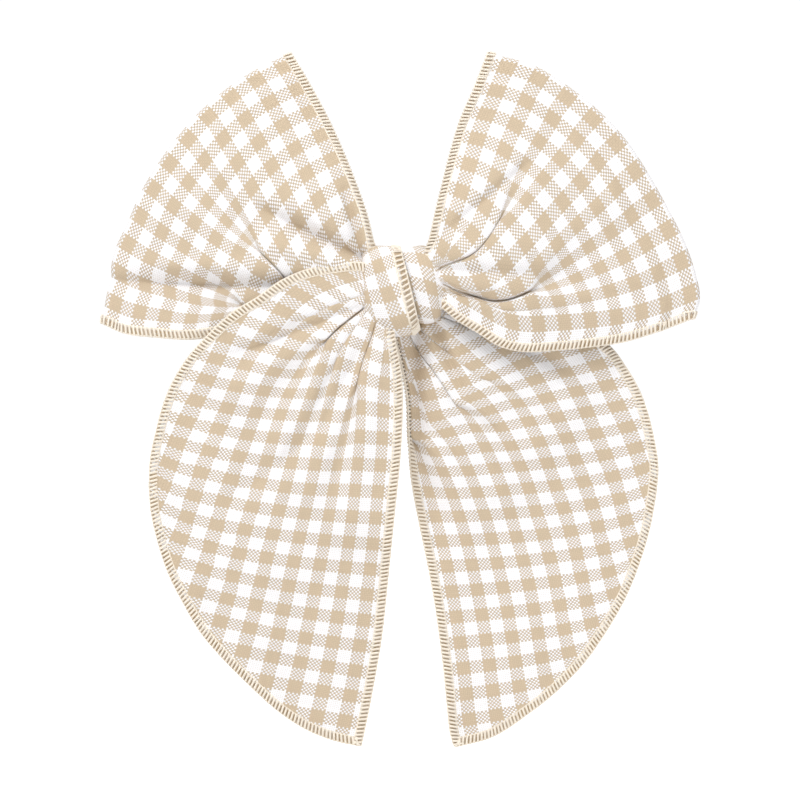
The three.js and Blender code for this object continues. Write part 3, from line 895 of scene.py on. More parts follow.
def wavy(grid: np.ndarray, size: float, height: float, seed: float) -> np.ndarray:
    """Adds the slight unevenness of handled cloth.

    Args:
        grid: the grid of places.
        size: how far apart the waves are.
        height: how deep they go.
        seed: moves the pattern, so that two pieces differ.

    Returns:
        The uneven grid.
    """
    made = grid.copy()
    for spot in made.reshape(-1, 3):
        spot[1] += height * noise.noise(Vector((spot[0] / size, spot[2] / size, seed)))
    return made


@dataclass
class ClothPanel:
    """What a loop and a tail share: a piece of the strip, gathered at the knot and set in folds."""

    name: str
    replaced: list[str]
    first: list[tuple[float, float]]
    second: list[tuple[float, float]]
    rim: list[tuple[float, float]]
    seed: float
    thickness: float = 0.36
    columns: int = 110
    root_height: float = 1.1
    fold_height: float = 2.6
    wave_size: float = 17.0
    wave_height: float = 0.5

    def patch(self, out: np.ndarray) -> np.ndarray:
        """Lays the panel out in the bow's plane, for the given shares of the way out from the knot."""
        root = at_share(np.array([self.first[0], self.second[0]]), np.linspace(0, 1, self.columns))
        rim = at_share(smooth_line(self.rim), np.linspace(0, 1, self.columns))
        first = at_share(smooth_line(self.first), out)
        second = at_share(smooth_line(self.second), out)
        return stretched_patch(first, second, root, rim, out)

    def heights(self, out: np.ndarray) -> np.ndarray:
        """Gives how far pleats may stand up at each share of the way out."""
        rise = self.root_height + (self.fold_height - self.root_height) * smoothstep(out / 0.3)
        return rise * (1 - 0.6 * smoothstep((out - 0.35) / 0.4))

    def from_edge(self, grid: np.ndarray) -> np.ndarray:
        """Gives each point's distance from the nearest of the panel's long edges."""
        run = np.cumsum(np.linalg.norm(np.diff(grid, axis=1, prepend=grid[:, :1]), axis=2), axis=1)
        return np.minimum(run, run[:, -1:] - run)

    def cloth(
        self,
        grid: np.ndarray,
        flat: np.ndarray,
        cut: tuple[float, float],
        area: float,
        rests_on: list[str],
        finish: bpy.types.Material,
    ) -> bpy.types.Object:
        """Args:
            grid: the places.
            flat: the same points on the uncut cloth.
            cut: the size it was cut to, in millimetres; not used.
            area: its cut area in square millimetres; not used.
            rests_on: what it lies against; not used.
            finish: the cloth's material.

        Returns:
            The sheet.
        """
        rows, columns = grid.shape[:2]
        piece = mesh_piece(self.name, grid.reshape(-1, 3), grid_faces(rows, columns), flat.reshape(-1, 2))
        mark_edges(piece, self.from_edge(grid))
        piece.data.materials.append(finish)
        thicken(piece, self.thickness)
        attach(piece, BOW_BODY)
        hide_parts(*self.replaced)
        log.info("%s: %d by %d points", self.name, rows, columns)
        return piece


@dataclass
class Loop(ClothPanel):
    """One loop of the bow: a front layer that turns over at a rounded fold and comes back behind."""

    cloth_width: float = 88.0
    pattern_width: float = 81.0
    start: tuple[float, float] = (4.8, 5.8)
    root_depths: tuple[float, float] = (-12.5, -10.5)
    fold_depth: float = -9.2
    fold_radius: float = 1.5
    front_belly: float = 4.5
    back_belly: float = 2.5
    belly_centre: float = 0.42
    front_pleats: list[Pleat] = field(default_factory=list)
    back_pleats: list[Pleat] = field(default_factory=list)
    creases: list[Crease] = field(default_factory=list)
    rows: int = 64
    turn_rows: int = 9

    def layer(self, out: np.ndarray, side: Layer) -> tuple[np.ndarray, np.ndarray]:
        """Shapes the front or the back layer.

        Args:
            out: the shares of the way out from the knot.
            side: which layer.

        Returns:
            The places, and each point's place on the flat cloth as (length from the fold, width).
        """
        plane = self.patch(out)
        front = side is Layer.FRONT
        root = self.root_depths[0 if front else 1]
        edge = self.fold_depth - side.value * self.fold_radius
        belly = self.front_belly if front else self.back_belly
        across = np.linspace(0, 1, self.columns)[None, :]
        lift = np.sin(
            np.pi * np.clip(out, 0, 1) ** 0.75
        )[:, None] * np.sin(np.pi * across ** self.skew()) ** 0.8
        depth = root + (edge - root) * smoothstep(out)[:, None] - side.value * belly * lift
        grid = np.dstack([plane[..., 0], depth, plane[..., 1]])
        width = np.full(len(out), self.cloth_width)
        pleats = self.front_pleats if front else self.back_pleats
        grid = gather_rows(grid, width, pleats, side, self.heights(out))
        if front:
            grid = press_creases(grid, self.creases)
        run = np.linalg.norm(np.diff(plane, axis=0), axis=2)
        length = np.vstack([np.zeros(self.columns), np.cumsum(run, axis=0)])
        from_fold = length[-1] - length
        flat = np.dstack(
            [side.value * from_fold, np.broadcast_to(across * self.pattern_width, from_fold.shape)]
        )
        return grid, flat

    def skew(self) -> float:
        """Gives the power that puts the belly's top at its own place across the loop."""
        return math.log(0.5) / math.log(self.belly_centre)

    def build(self, finish: bpy.types.Material) -> bpy.types.Object:
        """Makes the loop in one sheet, front layer, fold and back layer."""
        out = np.linspace(0, 1, self.rows)
        front, front_flat = self.layer(out, Layer.FRONT)
        back, back_flat = self.layer(out, Layer.BACK)
        turns = []
        edge = front[-1].copy()
        outward = front[-1][:, [0, 2]] - front[-3][:, [0, 2]]
        outward /= np.linalg.norm(outward, axis=1, keepdims=True)
        half = (back[-1][:, 1] - front[-1][:, 1]) / 2
        for angle in np.linspace(0, math.pi, self.turn_rows)[1:-1]:
            row = edge.copy()
            row[:, [0, 2]] += outward * (half * math.sin(angle))[:, None]
            row[:, 1] = front[-1][:, 1] + half * (1 - math.cos(angle))
            turns.append(row)
        spread = np.linspace(0, 1, self.turn_rows)[1:-1]
        turn_flat = [np.stack([(0.5 - t) * math.pi * half, front_flat[-1][:, 1]], axis=1) for t in spread]
        front_flat[..., 0] += math.pi * half / 2
        back_flat[..., 0] -= math.pi * half / 2
        grid = np.vstack([front, np.array(turns), back[::-1]])
        flat = np.vstack([front_flat, np.array(turn_flat), back_flat[::-1]])
        grid = wavy(grid, self.wave_size, self.wave_height, self.seed)
        self.edges = {"upper": (grid[:, 0], grid[:, 2]), "lower": (grid[:, -1], grid[:, -3])}
        length = flat[..., 0].max() - flat[..., 0].min()
        size = (self.pattern_width, length)
        return self.cloth(
            grid, flat + np.array(self.start), size, flat_area(flat), ["gathered_neck"], finish
        )


@dataclass
class Tail(ClothPanel):
    """One hanging tail: a single layer with a rounded, tapering end."""

    flat_root: tuple[float, float] = (9.0, 0.0)
    flat_outer: tuple[tuple[float, float, float], ...] = (
        (0.0, -32.0, 57.0),
        (0.3, -6.0, 60.0),
        (0.59, 20.0, 68.0),
        (0.79, 41.5, 68.0),
        (0.92, 57.0, 66.0),
    )
    level: float = -47.0
    tilt: float = 10.0
    start: tuple[float, float] = (1.0, 3.6)
    root_depth: float = -15.0
    far_depth: float = -12.5
    rim_depth: float = -9.5
    bulge: float = -1.5
    pleats: list[Pleat] = field(default_factory=list)
    creases: list[Crease] = field(default_factory=list)
    rows: int = 120

    def hanging(self, places: np.ndarray) -> np.ndarray:
        """Gives the flat places of points where the tail hangs flat, its weave a little off upright."""
        way = math.copysign(1.0, self.second[-1][0])
        lean = math.radians(self.tilt)
        down = np.array([way * math.sin(lean), -math.cos(lean)])
        side = np.array([way * math.cos(lean), math.sin(lean)])
        inner = smooth_line(self.first)
        run = np.r_[0, np.cumsum(np.linalg.norm(np.diff(inner, axis=0), axis=1))]
        at = int(np.argmin(np.abs(inner[:, 1] - self.level)))
        offset = places - inner[at]
        return np.stack([offset @ down + run[at] + self.flat_root[0], offset @ side], axis=-1)

    def from_edge(self, grid: np.ndarray) -> np.ndarray:
        """Gives each point's distance from the nearest edge, the rounded end included."""
        run = np.cumsum(np.linalg.norm(np.diff(grid, axis=0, prepend=grid[:1]), axis=2), axis=0)
        return np.minimum(super().from_edge(grid), run[-1:] - run)

    def flat_patch(self, out: np.ndarray) -> np.ndarray:
        """Lays the same grid out on the flat cloth."""
        share = np.linspace(0, 1, self.columns)
        inner = smooth_line(self.first)
        length = np.linalg.norm(np.diff(inner, axis=0), axis=1).sum()
        tip = np.array([self.flat_root[0] + length, 0.0])
        rim = self.hanging(at_share(smooth_line(self.rim), share))
        rim += (1 - share)[:, None] * (tip - rim[0])
        border = smooth_line([*self.flat_outer, (1.0, *rim[-1])])
        outer = np.stack([np.interp(out, border[:, 0], border[:, k]) for k in (1, 2)], axis=1)
        root = at_share(np.array([self.flat_root, self.flat_outer[0][1:]]), share)
        first = at_share(np.array([self.flat_root, tip]), out)
        return stretched_patch(first, outer, root, rim, out)

    def build(self, finish: bpy.types.Material) -> bpy.types.Object:
        """Makes the tail."""
        out = np.linspace(0, 1, self.rows)
        plane = self.patch(out)
        flat = self.flat_patch(out)
        across = np.linspace(0, 1, self.columns)[None, :]
        low = plane[..., 1].min()
        down = (plane[..., 1] - plane[0, :, 1].max()) / (low - plane[0, :, 1].max())
        depth = np.where(
            down < 0.45,
            self.root_depth + (self.far_depth - self.root_depth) * smoothstep(down / 0.45),
            self.far_depth + (self.rim_depth - self.far_depth) * smoothstep((down - 0.45) / 0.55),
        )
        depth += self.bulge * np.sin(np.pi * out)[:, None] * np.sin(np.pi * across)
        grid = np.dstack([plane[..., 0], depth, plane[..., 1]])
        width = np.linalg.norm(np.diff(flat, axis=1), axis=2).sum(axis=1)
        placed = np.linalg.norm(np.diff(plane, axis=1), axis=2).sum(axis=1)
        width = placed + (width - placed) * (1 - smoothstep((out - 0.2) / 0.4))
        grid = gather_rows(grid, width, self.pleats, Layer.FRONT, self.heights(out))
        grid = press_creases(grid, self.creases)
        grid = wavy(grid, self.wave_size, self.wave_height, self.seed)
        line = np.vstack([grid[:, 0], grid[-1, 1:], grid[-2::-1, -1]])
        inside = np.vstack([grid[:, 2], grid[-3, 1:], grid[-2::-1, -3]])
        self.edges = {"round": (line, inside)}
        size = (np.ptp(flat[..., 1]), np.ptp(flat[..., 0]))
        return self.cloth(
            grid, flat + np.array(self.start), size, flat_area(flat), ["gathered_neck"], finish
        )


# ---------------------------------------------------------------- the knot


@dataclass(frozen=True)
class Station:
    """One column of the knot's wrap: its place across, and how far the wrap stands out there."""

    x: float
    top: float
    bottom: float
    front: float
    lean: float = 0.0


@dataclass
class KnotWrap:
    """A lap of cloth taken once round the pinched middle."""

    name: str
    replaced: str
    stations: list[Station]
    seed: float
    back: float = -3.6
    around: int = 96
    across: int = 40
    row_turn: float = 20.0
    column_turn: float = 17.0
    white_square: tuple[float, float] = (0.0, 0.0)
    stitched: bool = False
    squareness: float = 2.4
    thickness: float = 0.4
    wrinkle: float = 0.25
    wrinkle_size: float = 5.5

    def weave(self, grid: np.ndarray, hoop: np.ndarray, side: np.ndarray) -> np.ndarray:
        """Lays the weave over the lap, turned and pulled askew as it was when tied.

        Args:
            grid: the lap's places.
            hoop: how far round the lap each row is.
            side: how far across it each column is.

        Returns:
            Each point's place on the flat cloth.
        """
        across, along = GinghamFinish.check_across, GinghamFinish.check_along
        row, column = math.radians(self.row_turn), math.radians(self.column_turn)
        ways = np.array([[math.cos(row), -math.sin(column)], [math.sin(row), math.cos(column)]])
        off = np.linalg.norm(grid[..., [0, 2]] - np.array(self.white_square), axis=2)
        off += np.where(grid[..., 1] < grid[..., 1].mean(), 0.0, FAR_FROM_EDGE)
        i, j = np.unravel_index(np.argmin(off), off.shape)
        place = np.stack(np.broadcast_arrays(side[None, :] - side[j], hoop[:, None] - hoop[i]), axis=-1)
        turned = place @ np.linalg.inv(ways).T
        return np.dstack([turned[..., 1] + 0.75 * along, turned[..., 0] + 0.75 * across])

    def build(self, finish: bpy.types.Material) -> bpy.types.Object:
        """Makes the lap as a closed band of cloth."""
        given = np.array([[s.x, s.top, s.bottom, s.front, s.lean] for s in self.stations])
        line = evenly(smooth_line(given), self.across)
        turn = np.linspace(math.pi, 3 * math.pi, self.around, endpoint=False)
        power = 2 / self.squareness
        up = np.sign(np.sin(turn)) * np.abs(np.sin(turn)) ** power
        ahead = np.sign(np.cos(turn)) * np.abs(np.cos(turn)) ** power
        x, top, bottom, front, lean = (line[:, k][None, :] for k in range(5))
        z = (top + bottom) / 2 + (top - bottom) / 2 * up[:, None]
        y = (self.back + front) / 2 - (self.back - front) / 2 * ahead[:, None]
        grid = np.dstack([x - lean * (z - 1) / 10, y, z])
        grid = wavy(grid, self.wrinkle_size, self.wrinkle, self.seed)
        middle = grid[:, self.across // 2]
        hoop = np.r_[0, np.cumsum(np.linalg.norm(np.diff(middle, axis=0), axis=1))]
        front_row = grid[self.around // 2]
        side = np.cumsum(np.r_[0, np.linalg.norm(np.diff(front_row, axis=0), axis=1)])
        length = hoop[-1] + np.linalg.norm(middle[0] - middle[-1])
        self.seam = (grid[:, -1], grid[:, -4])
        closed = np.vstack([grid, grid[:1]])
        unrolled = self.weave(closed, np.r_[hoop, length], side)
        piece = mesh_piece(
            self.name,
            closed.reshape(-1, 3),
            grid_faces(self.around + 1, self.across),
            unrolled.reshape(-1, 2),
        )
        mark_edges(
            piece,
            np.broadcast_to(
                (side[-1] - side if self.stitched else side + FAR_FROM_EDGE)[None, :], closed.shape[:2]
            ),
        )
        piece.data.materials.append(finish)
        thicken(piece, self.thickness)
        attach(piece, BOW_BODY)
        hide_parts(self.replaced)
        return piece


@dataclass
class PinchedMiddle:
    """The bunch of cloth that the knot is wrapped round: a ribbed lump, flared at both ends."""

    stations: list[Station]
    back: float = -6.2
    ribs: int = 13
    rib_depth: float = 0.1
    around: int = 117
    across: int = 46

    def build(self, finish: bpy.types.Material) -> bpy.types.Object:
        """Makes the bunch, closed at its ends."""
        given = np.array([[s.x, s.top, s.bottom, s.front] for s in self.stations])
        line = evenly(smooth_line(given), self.across)
        turn = np.linspace(0, 2 * math.pi, self.around, endpoint=False)
        rib = 1 - self.rib_depth * np.abs(np.sin(self.ribs / 2 * turn + 0.4 * np.sin(3 * turn)))
        rings = []
        for k, (x, top, bottom, front) in enumerate(line):
            z = (top + bottom) / 2 + (top - bottom) / 2 * np.sin(turn) * rib
            y = (self.back + front) / 2 - (self.back - front) / 2 * np.cos(turn) * rib
            rings.append(np.stack([np.full_like(z, x), y, z], axis=1))
        grid = np.array(rings)
        faces = grid_faces(self.across, self.around, wrap=True)
        ends = [grid[0].mean(axis=0), grid[-1].mean(axis=0)]
        verts = np.vstack([grid.reshape(-1, 3), ends])
        first, last = len(verts) - 2, len(verts) - 1
        start = (self.across - 1) * self.around
        for j in range(self.around):
            after = (j + 1) % self.around
            faces.append((after, j, first))
            faces.append((start + j, start + after, last))
        flat = np.stack([verts[:, 0], 1.6 * verts[:, 2]], axis=1)
        piece = mesh_piece("gathered_bunch", verts, faces, flat)
        mark_edges(piece, np.full(len(verts), FAR_FROM_EDGE))
        piece.data.materials.append(finish)
        outward(piece)
        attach(piece, BOW_BODY)
        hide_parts("gathered_neck")
        return piece


def rope(name: str, points: list[tuple[float, ...]], radius: float, sides: int = 8) -> bpy.types.Object:
    """Makes a round rope, wire or bead along points, closed at its ends.

    Args:
        name: the piece's name.
        points: the middle line, in millimetres.
        radius: the rope's radius.
        sides: faces round it.

    Returns:
        The new object.
    """
    line = np.asarray(points, float)
    tangent = np.gradient(line, axis=0)
    tangent /= np.linalg.norm(tangent, axis=1, keepdims=True)
    side = np.cross(tangent[0], [0.3, 0.2, 0.93])
    rings = []
    turn = np.linspace(0, 2 * math.pi, sides, endpoint=False)
    for spot, way in zip(line, tangent):
        side = side - way * (side @ way)
        side /= np.linalg.norm(side)
        other = np.cross(way, side)
        rings.append(spot + radius * (np.cos(turn)[:, None] * side + np.sin(turn)[:, None] * other))
    verts = np.vstack([*rings, line[:1], line[-1:]])
    faces = grid_faces(len(line), sides, wrap=True)
    first, last = len(verts) - 2, len(verts) - 1
    start = (len(line) - 1) * sides
    for j in range(sides):
        after = (j + 1) % sides
        faces.append((after, j, first))
        faces.append((start + j, start + after, last))
    piece = mesh_piece(name, verts, faces)
    outward(piece)
    return piece


# ---------------------------------------------------------------- the clip


@dataclass
class Clip:
    """The sprung steel clip behind the bow, with its spring, its ribbon lining and its glue."""

    bevel: float = 0.14
    pivot: tuple[float, float] = (9.0, 3.0)
    wire: float = 0.3
    coil: float = 1.75
    turns: float = 3.35
    half_coil: float = 1.2

    def refined(self, node: str, body: str, finish: bpy.types.Material) -> bpy.types.Object:
        """Copies a CAD node's shape and eases its pressed edges.

        Args:
            node: the CAD node.
            body: the body that it moves with.
            finish: its material.

        Returns:
            The finished piece.
        """
        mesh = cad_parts[node].data.copy()
        mesh.materials.clear()
        mesh.materials.append(finish)
        piece = bpy.data.objects.new(node.replace("clip_", "steel_"), mesh)
        bpy.context.scene.collection.objects.link(piece)
        body_mesh = bmesh.new()
        body_mesh.from_mesh(mesh)
        bmesh.ops.remove_doubles(body_mesh, verts=body_mesh.verts, dist=CLIP_MERGE_WITHIN)
        bmesh.ops.dissolve_limit(
            body_mesh, angle_limit=math.radians(0.5), verts=body_mesh.verts, edges=body_mesh.edges
        )
        body_mesh.to_mesh(mesh)
        body_mesh.free()
        mesh.shade_smooth()
        eased = piece.modifiers.new("Eased edges", "BEVEL")
        eased.width = self.bevel * MM
        eased.segments = 2
        eased.limit_method = "ANGLE"
        eased.angle_limit = math.radians(35)
        eased.harden_normals = True
        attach(piece, body)
        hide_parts(node)
        return piece

    def spring(self, finish: bpy.types.Material) -> bpy.types.Object:
        """Winds the spring, one leg on each lever."""
        lever = math.radians(27)
        px, py = self.pivot
        points = [
            (px + 12, -0.15, -self.half_coil),
            (px + 8, -0.15, -self.half_coil),
            (px + 4, -0.05, -self.half_coil),
        ]
        steps = 28
        last = int(self.turns * steps)
        for i in range(last + 1):
            turn = -math.pi / 2 - 2 * math.pi * i / steps
            z = -self.half_coil + 2 * self.half_coil * i / last
            points.append((px + self.coil * math.cos(turn), py + self.coil * math.sin(turn), z))
        for run in (3.0, 6.0, 9.0):
            x = px + 3 + run * math.cos(lever) + 1.4 * math.sin(lever)
            y = py + 3.2 + run * math.sin(lever) - 1.4 * math.cos(lever)
            points.append((x, y, self.half_coil))
        line = evenly(smooth_line(points, 6), 260)
        piece = rope("spring_wire", line, self.wire, 10)
        piece.data.materials.append(finish)
        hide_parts("clip_spring")
        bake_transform(piece)
        return piece

    def glue(self, finish: bpy.types.Material) -> bpy.types.Object:
        """Makes the set blob of glue, thick in its middle and thin at its ragged rim."""
        low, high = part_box("glue_pad")
        centre = (low + high) / (2 * MM)
        half = (high - low) / (2 * MM)
        turn = np.linspace(0, 2 * math.pi, 72, endpoint=False)
        ragged = 1 + 0.05 * np.sin(3 * turn + 1) + 0.035 * np.sin(7 * turn) + 0.02 * np.sin(12 * turn + 2)
        rings = []
        for lift in np.linspace(-math.pi / 2, math.pi / 2, 13):
            size = math.cos(lift) ** 0.45 if abs(lift) < math.pi / 2 - 0.01 else 0.02
            x = centre.x + half.x * size * ragged * np.cos(turn)
            z = centre.z + half.z * size * ragged * np.sin(turn)
            rings.append(
                np.stack([x, np.full_like(x, centre.y + half.y * 1.35 * math.sin(lift)), z], axis=1)
            )
        grid = np.array(rings)
        count = len(turn)
        faces = grid_faces(len(rings), count, wrap=True)
        verts = np.vstack([grid.reshape(-1, 3), grid[0].mean(axis=0)[None], grid[-1].mean(axis=0)[None]])
        first, last = len(verts) - 2, len(verts) - 1
        start = (len(rings) - 1) * count
        for j in range(count):
            faces.append(((j + 1) % count, j, first))
            faces.append((start + j, start + (j + 1) % count, last))
        piece = mesh_piece("glue_blob", verts, faces)
        outward(piece)
        piece.data.materials.append(finish)
        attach(piece, BOW_BODY)
        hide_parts("glue_pad")
        return piece

    def build(self) -> None:
        """Makes and dresses the whole clip."""
        steel = SteelFinish("clip_steel").material()
        wire = SteelFinish("spring_steel", colour=tint(150, 152, 154), roughness=0.2).material()
        self.refined("clip_front_arm", BOW_BODY, steel)
        self.refined("clip_rear_arm", REAR_BODY, steel)
        self.refined("clip_pin", BOW_BODY, steel)
        ribbon = self.refined("clip_lining_ribbon", BOW_BODY, RibbonFinish().material())
        ribbon.name = "grosgrain_lining"
        self.spring(wire)
        self.glue(GlueFinish().material())
        log.info("clip: arms, pin, spring, lining and glue")


# ---------------------------------------------------------------- the bow


@dataclass
class Bow:
    """The tied bow: two loops, two tails, the knot and its serged edges."""

    def left_loop(self) -> Loop:
        """Sets out the left loop."""
        return Loop(
            name="left_loop_cloth",
            replaced=["left_loop_back", "left_loop_front"],
            first=[
                (-5.0, 7.6), (-7.2, 12), (-9.2, 19.9), (-12.2, 28.4), (-15.8, 37.4), (-19.4, 45.3),
                (-24.9, 55.5), (-28.1, 60.9),
            ],
            second=[
                (-5.0, -1.4), (-9.4, -2.6), (-29.3, -8.6), (-44, -11), (-55.5, -12.6), (-63.9, -12.1),
                (-72.4, -11.1), (-77.2, -9.1),
            ],
            rim=[
                (-28.1, 60.9), (-35, 57.9), (-42.3, 53.7), (-50.7, 47), (-56.7, 40.4), (-62.1, 33.2),
                (-66.9, 25.4), (-70.6, 16.9), (-73.6, 10.4), (-75.6, 0.7), (-77.2, -9.1),
            ],
            seed=1.7,
            root_depths=(-12.2, -10.2),
            fold_depth=-9.4,
            front_belly=3.6,
            back_belly=2.6,
            belly_centre=0.36,
            front_pleats=[
                Pleat(0.10, 0.2), Pleat(0.26, 0.5), Pleat(0.46, 2.4), Pleat(0.62, 0.9), Pleat(0.81, 3.2)
            ],
            back_pleats=[Pleat(0.15, 1.2), Pleat(0.38, 2.2), Pleat(0.6, 1.6), Pleat(0.83, 2.6)],
            creases=[
                Crease((-8, 8.2), (-38, 22.4), 3.4, 1.7, lip=-3.2),
                Crease((-7, 5.6), (-44, 13.4), -2.0, 3.0),
                Crease((-10.4, 8.8), (-15.6, 27), 2.6, 1.2, lip=1.6),
                Crease((-24, 1.6), (-78, 3.4), 2.0, 1.8, lip=-2.6),
                Crease((-72, 6.8), (-28, 5.8), -1.0, 2.8),
            ],
        )

    def right_loop(self) -> Loop:
        """Sets out the right loop."""
        return Loop(
            name="right_loop_cloth",
            replaced=["right_loop_back", "right_loop_front"],
            first=[
                (5.4, 8.0), (7.3, 12.7), (8.9, 19.9), (10.7, 27.2), (13.1, 36.8), (15.5, 44.7), (19.1, 53),
                (22.1, 60.9),
            ],
            second=[
                (5.4, -2.8), (10.7, -4.7), (14.3, -7.7), (20.3, -11.3), (25.2, -14.4), (31.1, -15.9),
                (39.6, -15.6), (49.2, -14.7), (58.8, -13.2), (68.5, -10.2), (75.1, -7.7),
            ],
            rim=[
                (22.1, 60.9), (33.6, 57.9), (42, 53), (50.4, 46.4), (57.7, 38.6), (63.7, 29.6),
                (68.5, 21.1), (72.7, 12.7), (75.7, 4.3), (76.9, -2.9), (75.1, -7.7),
            ],
            seed=6.3,
            pattern_width=76.0,
            start=(4.8, 4.0),
            root_depths=(-13.6, -11.6),
            fold_depth=-9.6,
            front_belly=4.6,
            back_belly=1.8,
            belly_centre=0.45,
            front_pleats=[
                Pleat(0.12, 0.3), Pleat(0.28, 1.5), Pleat(0.5, 0.6), Pleat(0.68, 2.4), Pleat(0.86, 0.8)
            ],
            back_pleats=[Pleat(0.15, 1.4), Pleat(0.4, 1.8), Pleat(0.62, 2.4), Pleat(0.85, 1.2)],
            creases=[
                Crease((8.6, 13.0), (34, 34.6), 1.6, 1.9, lip=1.8),
                Crease((7.4, 12.0), (17.5, 31), 1.3, 1.4),
                Crease((8, 6.0), (40, 4.4), 1.6, 2.0, lip=1.8),
                Crease((36, 4.6), (58, -2), 0.8, 2.2),
                Crease((9, 10.4), (40, 12.5), -0.8, 3.0),
                Crease((10, -0.6), (30, -2), 1.7, 1.6, lip=1.2),
            ],
        )

    def left_tail(self) -> Tail:
        """Sets out the left tail, which crosses in front of the left loop."""
        return Tail(
            name="left_tail_cloth",
            replaced=["left_tail"],
            first=[
                (-1.6, -6.5), (-1.8, -12), (-0.1, -22.2), (0.2, -31.8), (-0.4, -43.9), (-1.6, -55.9),
                (-2.8, -68), (-4, -80), (-5.2, -90.8), (-6.8, -100.5), (-8.6, -110.1), (-10.6, -119.6),
            ],
            second=[
                (-5.2, 5.0), (-10.4, 6.9), (-19.4, 6.1), (-25.4, 4.7), (-31.5, 1.9), (-37.4, -2.3),
                (-43.5, -5.9), (-49.5, -11.3), (-54.3, -16.2), (-58.5, -22.2), (-61.8, -29.4),
                (-63.9, -36.7), (-65.4, -43.9), (-65.8, -51.1),
            ],
            rim=[
                (-10.6, -119.6), (-18.2, -117.9), (-25.4, -114.9), (-32.6, -110.1), (-39.9, -103.5),
                (-46.5, -96.8), (-52.5, -89.6), (-57.3, -81.2), (-60.9, -73.9), (-63.3, -66.7),
                (-65.2, -58.3), (-65.8, -51.1),
            ],
            seed=3.1,
            root_depth=-15.4,
            far_depth=-13.2,
            rim_depth=-9.0,
            pleats=[
                Pleat(0.1, 0.6), Pleat(0.26, 1.6), Pleat(0.45, 1.2), Pleat(0.63, 2.2), Pleat(0.83, 1.0)
            ],
            creases=[
                Crease((-12, -4.5), (-46, -17), 1.4, 2.0, lip=-1.6),
                Crease((-16.4, -7.6), (-31, -33.4), -1.1, 2.4),
                Crease((-7.5, -11), (-23, -39), 1.7, 2.6),
                Crease((-18, -34), (-47, -57), 1.4, 3.2),
                Crease((-4.6, -13), (-10, -44), -0.9, 2.4),
            ],
        )

    def right_tail(self) -> Tail:
        """Sets out the right tail, which hangs behind everything."""
        return Tail(
            name="right_tail_cloth",
            replaced=["right_tail"],
            first=[
                (-2.0, -6.5), (-1.4, -12.6), (0.2, -20), (1.6, -28), (2, -37.8), (2.6, -48.7),
                (4.7, -60.7), (6.9, -71.5), (8.7, -81.2), (10.1, -90.8), (11.3, -100.5), (12.1, -108.9),
                (12.9, -116.1), (13.9, -120),
            ],
            second=[
                (5.2, 1.0), (11.6, 0), (27.4, -3.1), (43.1, -7.2), (55.2, -15), (58.9, -19.8),
                (62.5, -25.8), (64.9, -31.8), (66.7, -39), (67.8, -46.2), (67.3, -53.5),
            ],
            rim=[
                (13.9, -120), (23.9, -117.3), (32.4, -111.9), (40.8, -105.3), (48, -98), (54, -89.6),
                (58.9, -81.2), (62.5, -72.8), (65.5, -63.1), (67.3, -53.5),
            ],
            seed=9.4,
            root_depth=-8.6,
            far_depth=-5.6,
            rim_depth=-8.0,
            bulge=-0.8,
            pleats=[
                Pleat(0.08, 2.6), Pleat(0.25, 1.2), Pleat(0.43, 1.8), Pleat(0.62, 1.4), Pleat(0.83, 1.6)
            ],
            creases=[
                Crease((3.4, 0), (4.8, -42), 3.8, 2.3),
                Crease((6.8, -3.0), (16.6, -27), 2.4, 1.3, lip=1.6),
                Crease((5.6, -8), (17, -51), -0.8, 2.4),
            ],
        )

    def knot(self, finish: bpy.types.Material, thread: bpy.types.Material) -> None:
        """Wraps the knot and stitches its edge."""
        under = KnotWrap(
            name="knot_right_wrap",
            replaced="knot_right_lap",
            stations=[
                Station(0.5, 9.6, -7.6, -17.6, 2.4),
                Station(4, 10.9, -8.6, -18.6, 2.2),
                Station(7.4, 11.6, -8.0, -18.2, 1.6),
                Station(10.0, 10.2, -6.2, -16.6, 0.6),
                Station(11.3, 7.4, -3.4, -14.6),
                Station(9.8, 5.0, -1.6, -12.6),
            ],
            row_turn=-24.0,
            column_turn=5.0,
            white_square=(3.4, 4.9),
            seed=4.4,
        )
        over = KnotWrap(
            name="knot_left_wrap",
            replaced="knot_left_lap",
            stations=[
                Station(-8.6, 5.4, -2.6, -12.6, 0.0),
                Station(-10.0, 7.6, -4.6, -14.6, 0.0),
                Station(-9.6, 10.2, -7.6, -17.0, 0.1),
                Station(-7, 11.4, -10.4, -19.2, 0.4),
                Station(-3.4, 11.5, -12.0, -20.3, 1.1),
                Station(-0.2, 11.2, -11.6, -20.4, 1.9),
                Station(2.0, 11.0, -9.8, -19.8, 2.4),
            ],
            white_square=(-1.8, 3.1),
            stitched=True,
            seed=2.2,
        )
        under.build(finish)
        over.build(finish)
        seam = Serging("knot_serging", pitch=1.3, width=2.3, wrap=1.0, thread=0.27, bead=0.32)
        line, inside = over.seam
        front = np.where(line[:, 1] < -7.0)[0]
        order = front[np.argsort(-line[front, 2])]
        seam.follow(line[order], inside[order])
        seam.build(thread, ["knot_edging"])

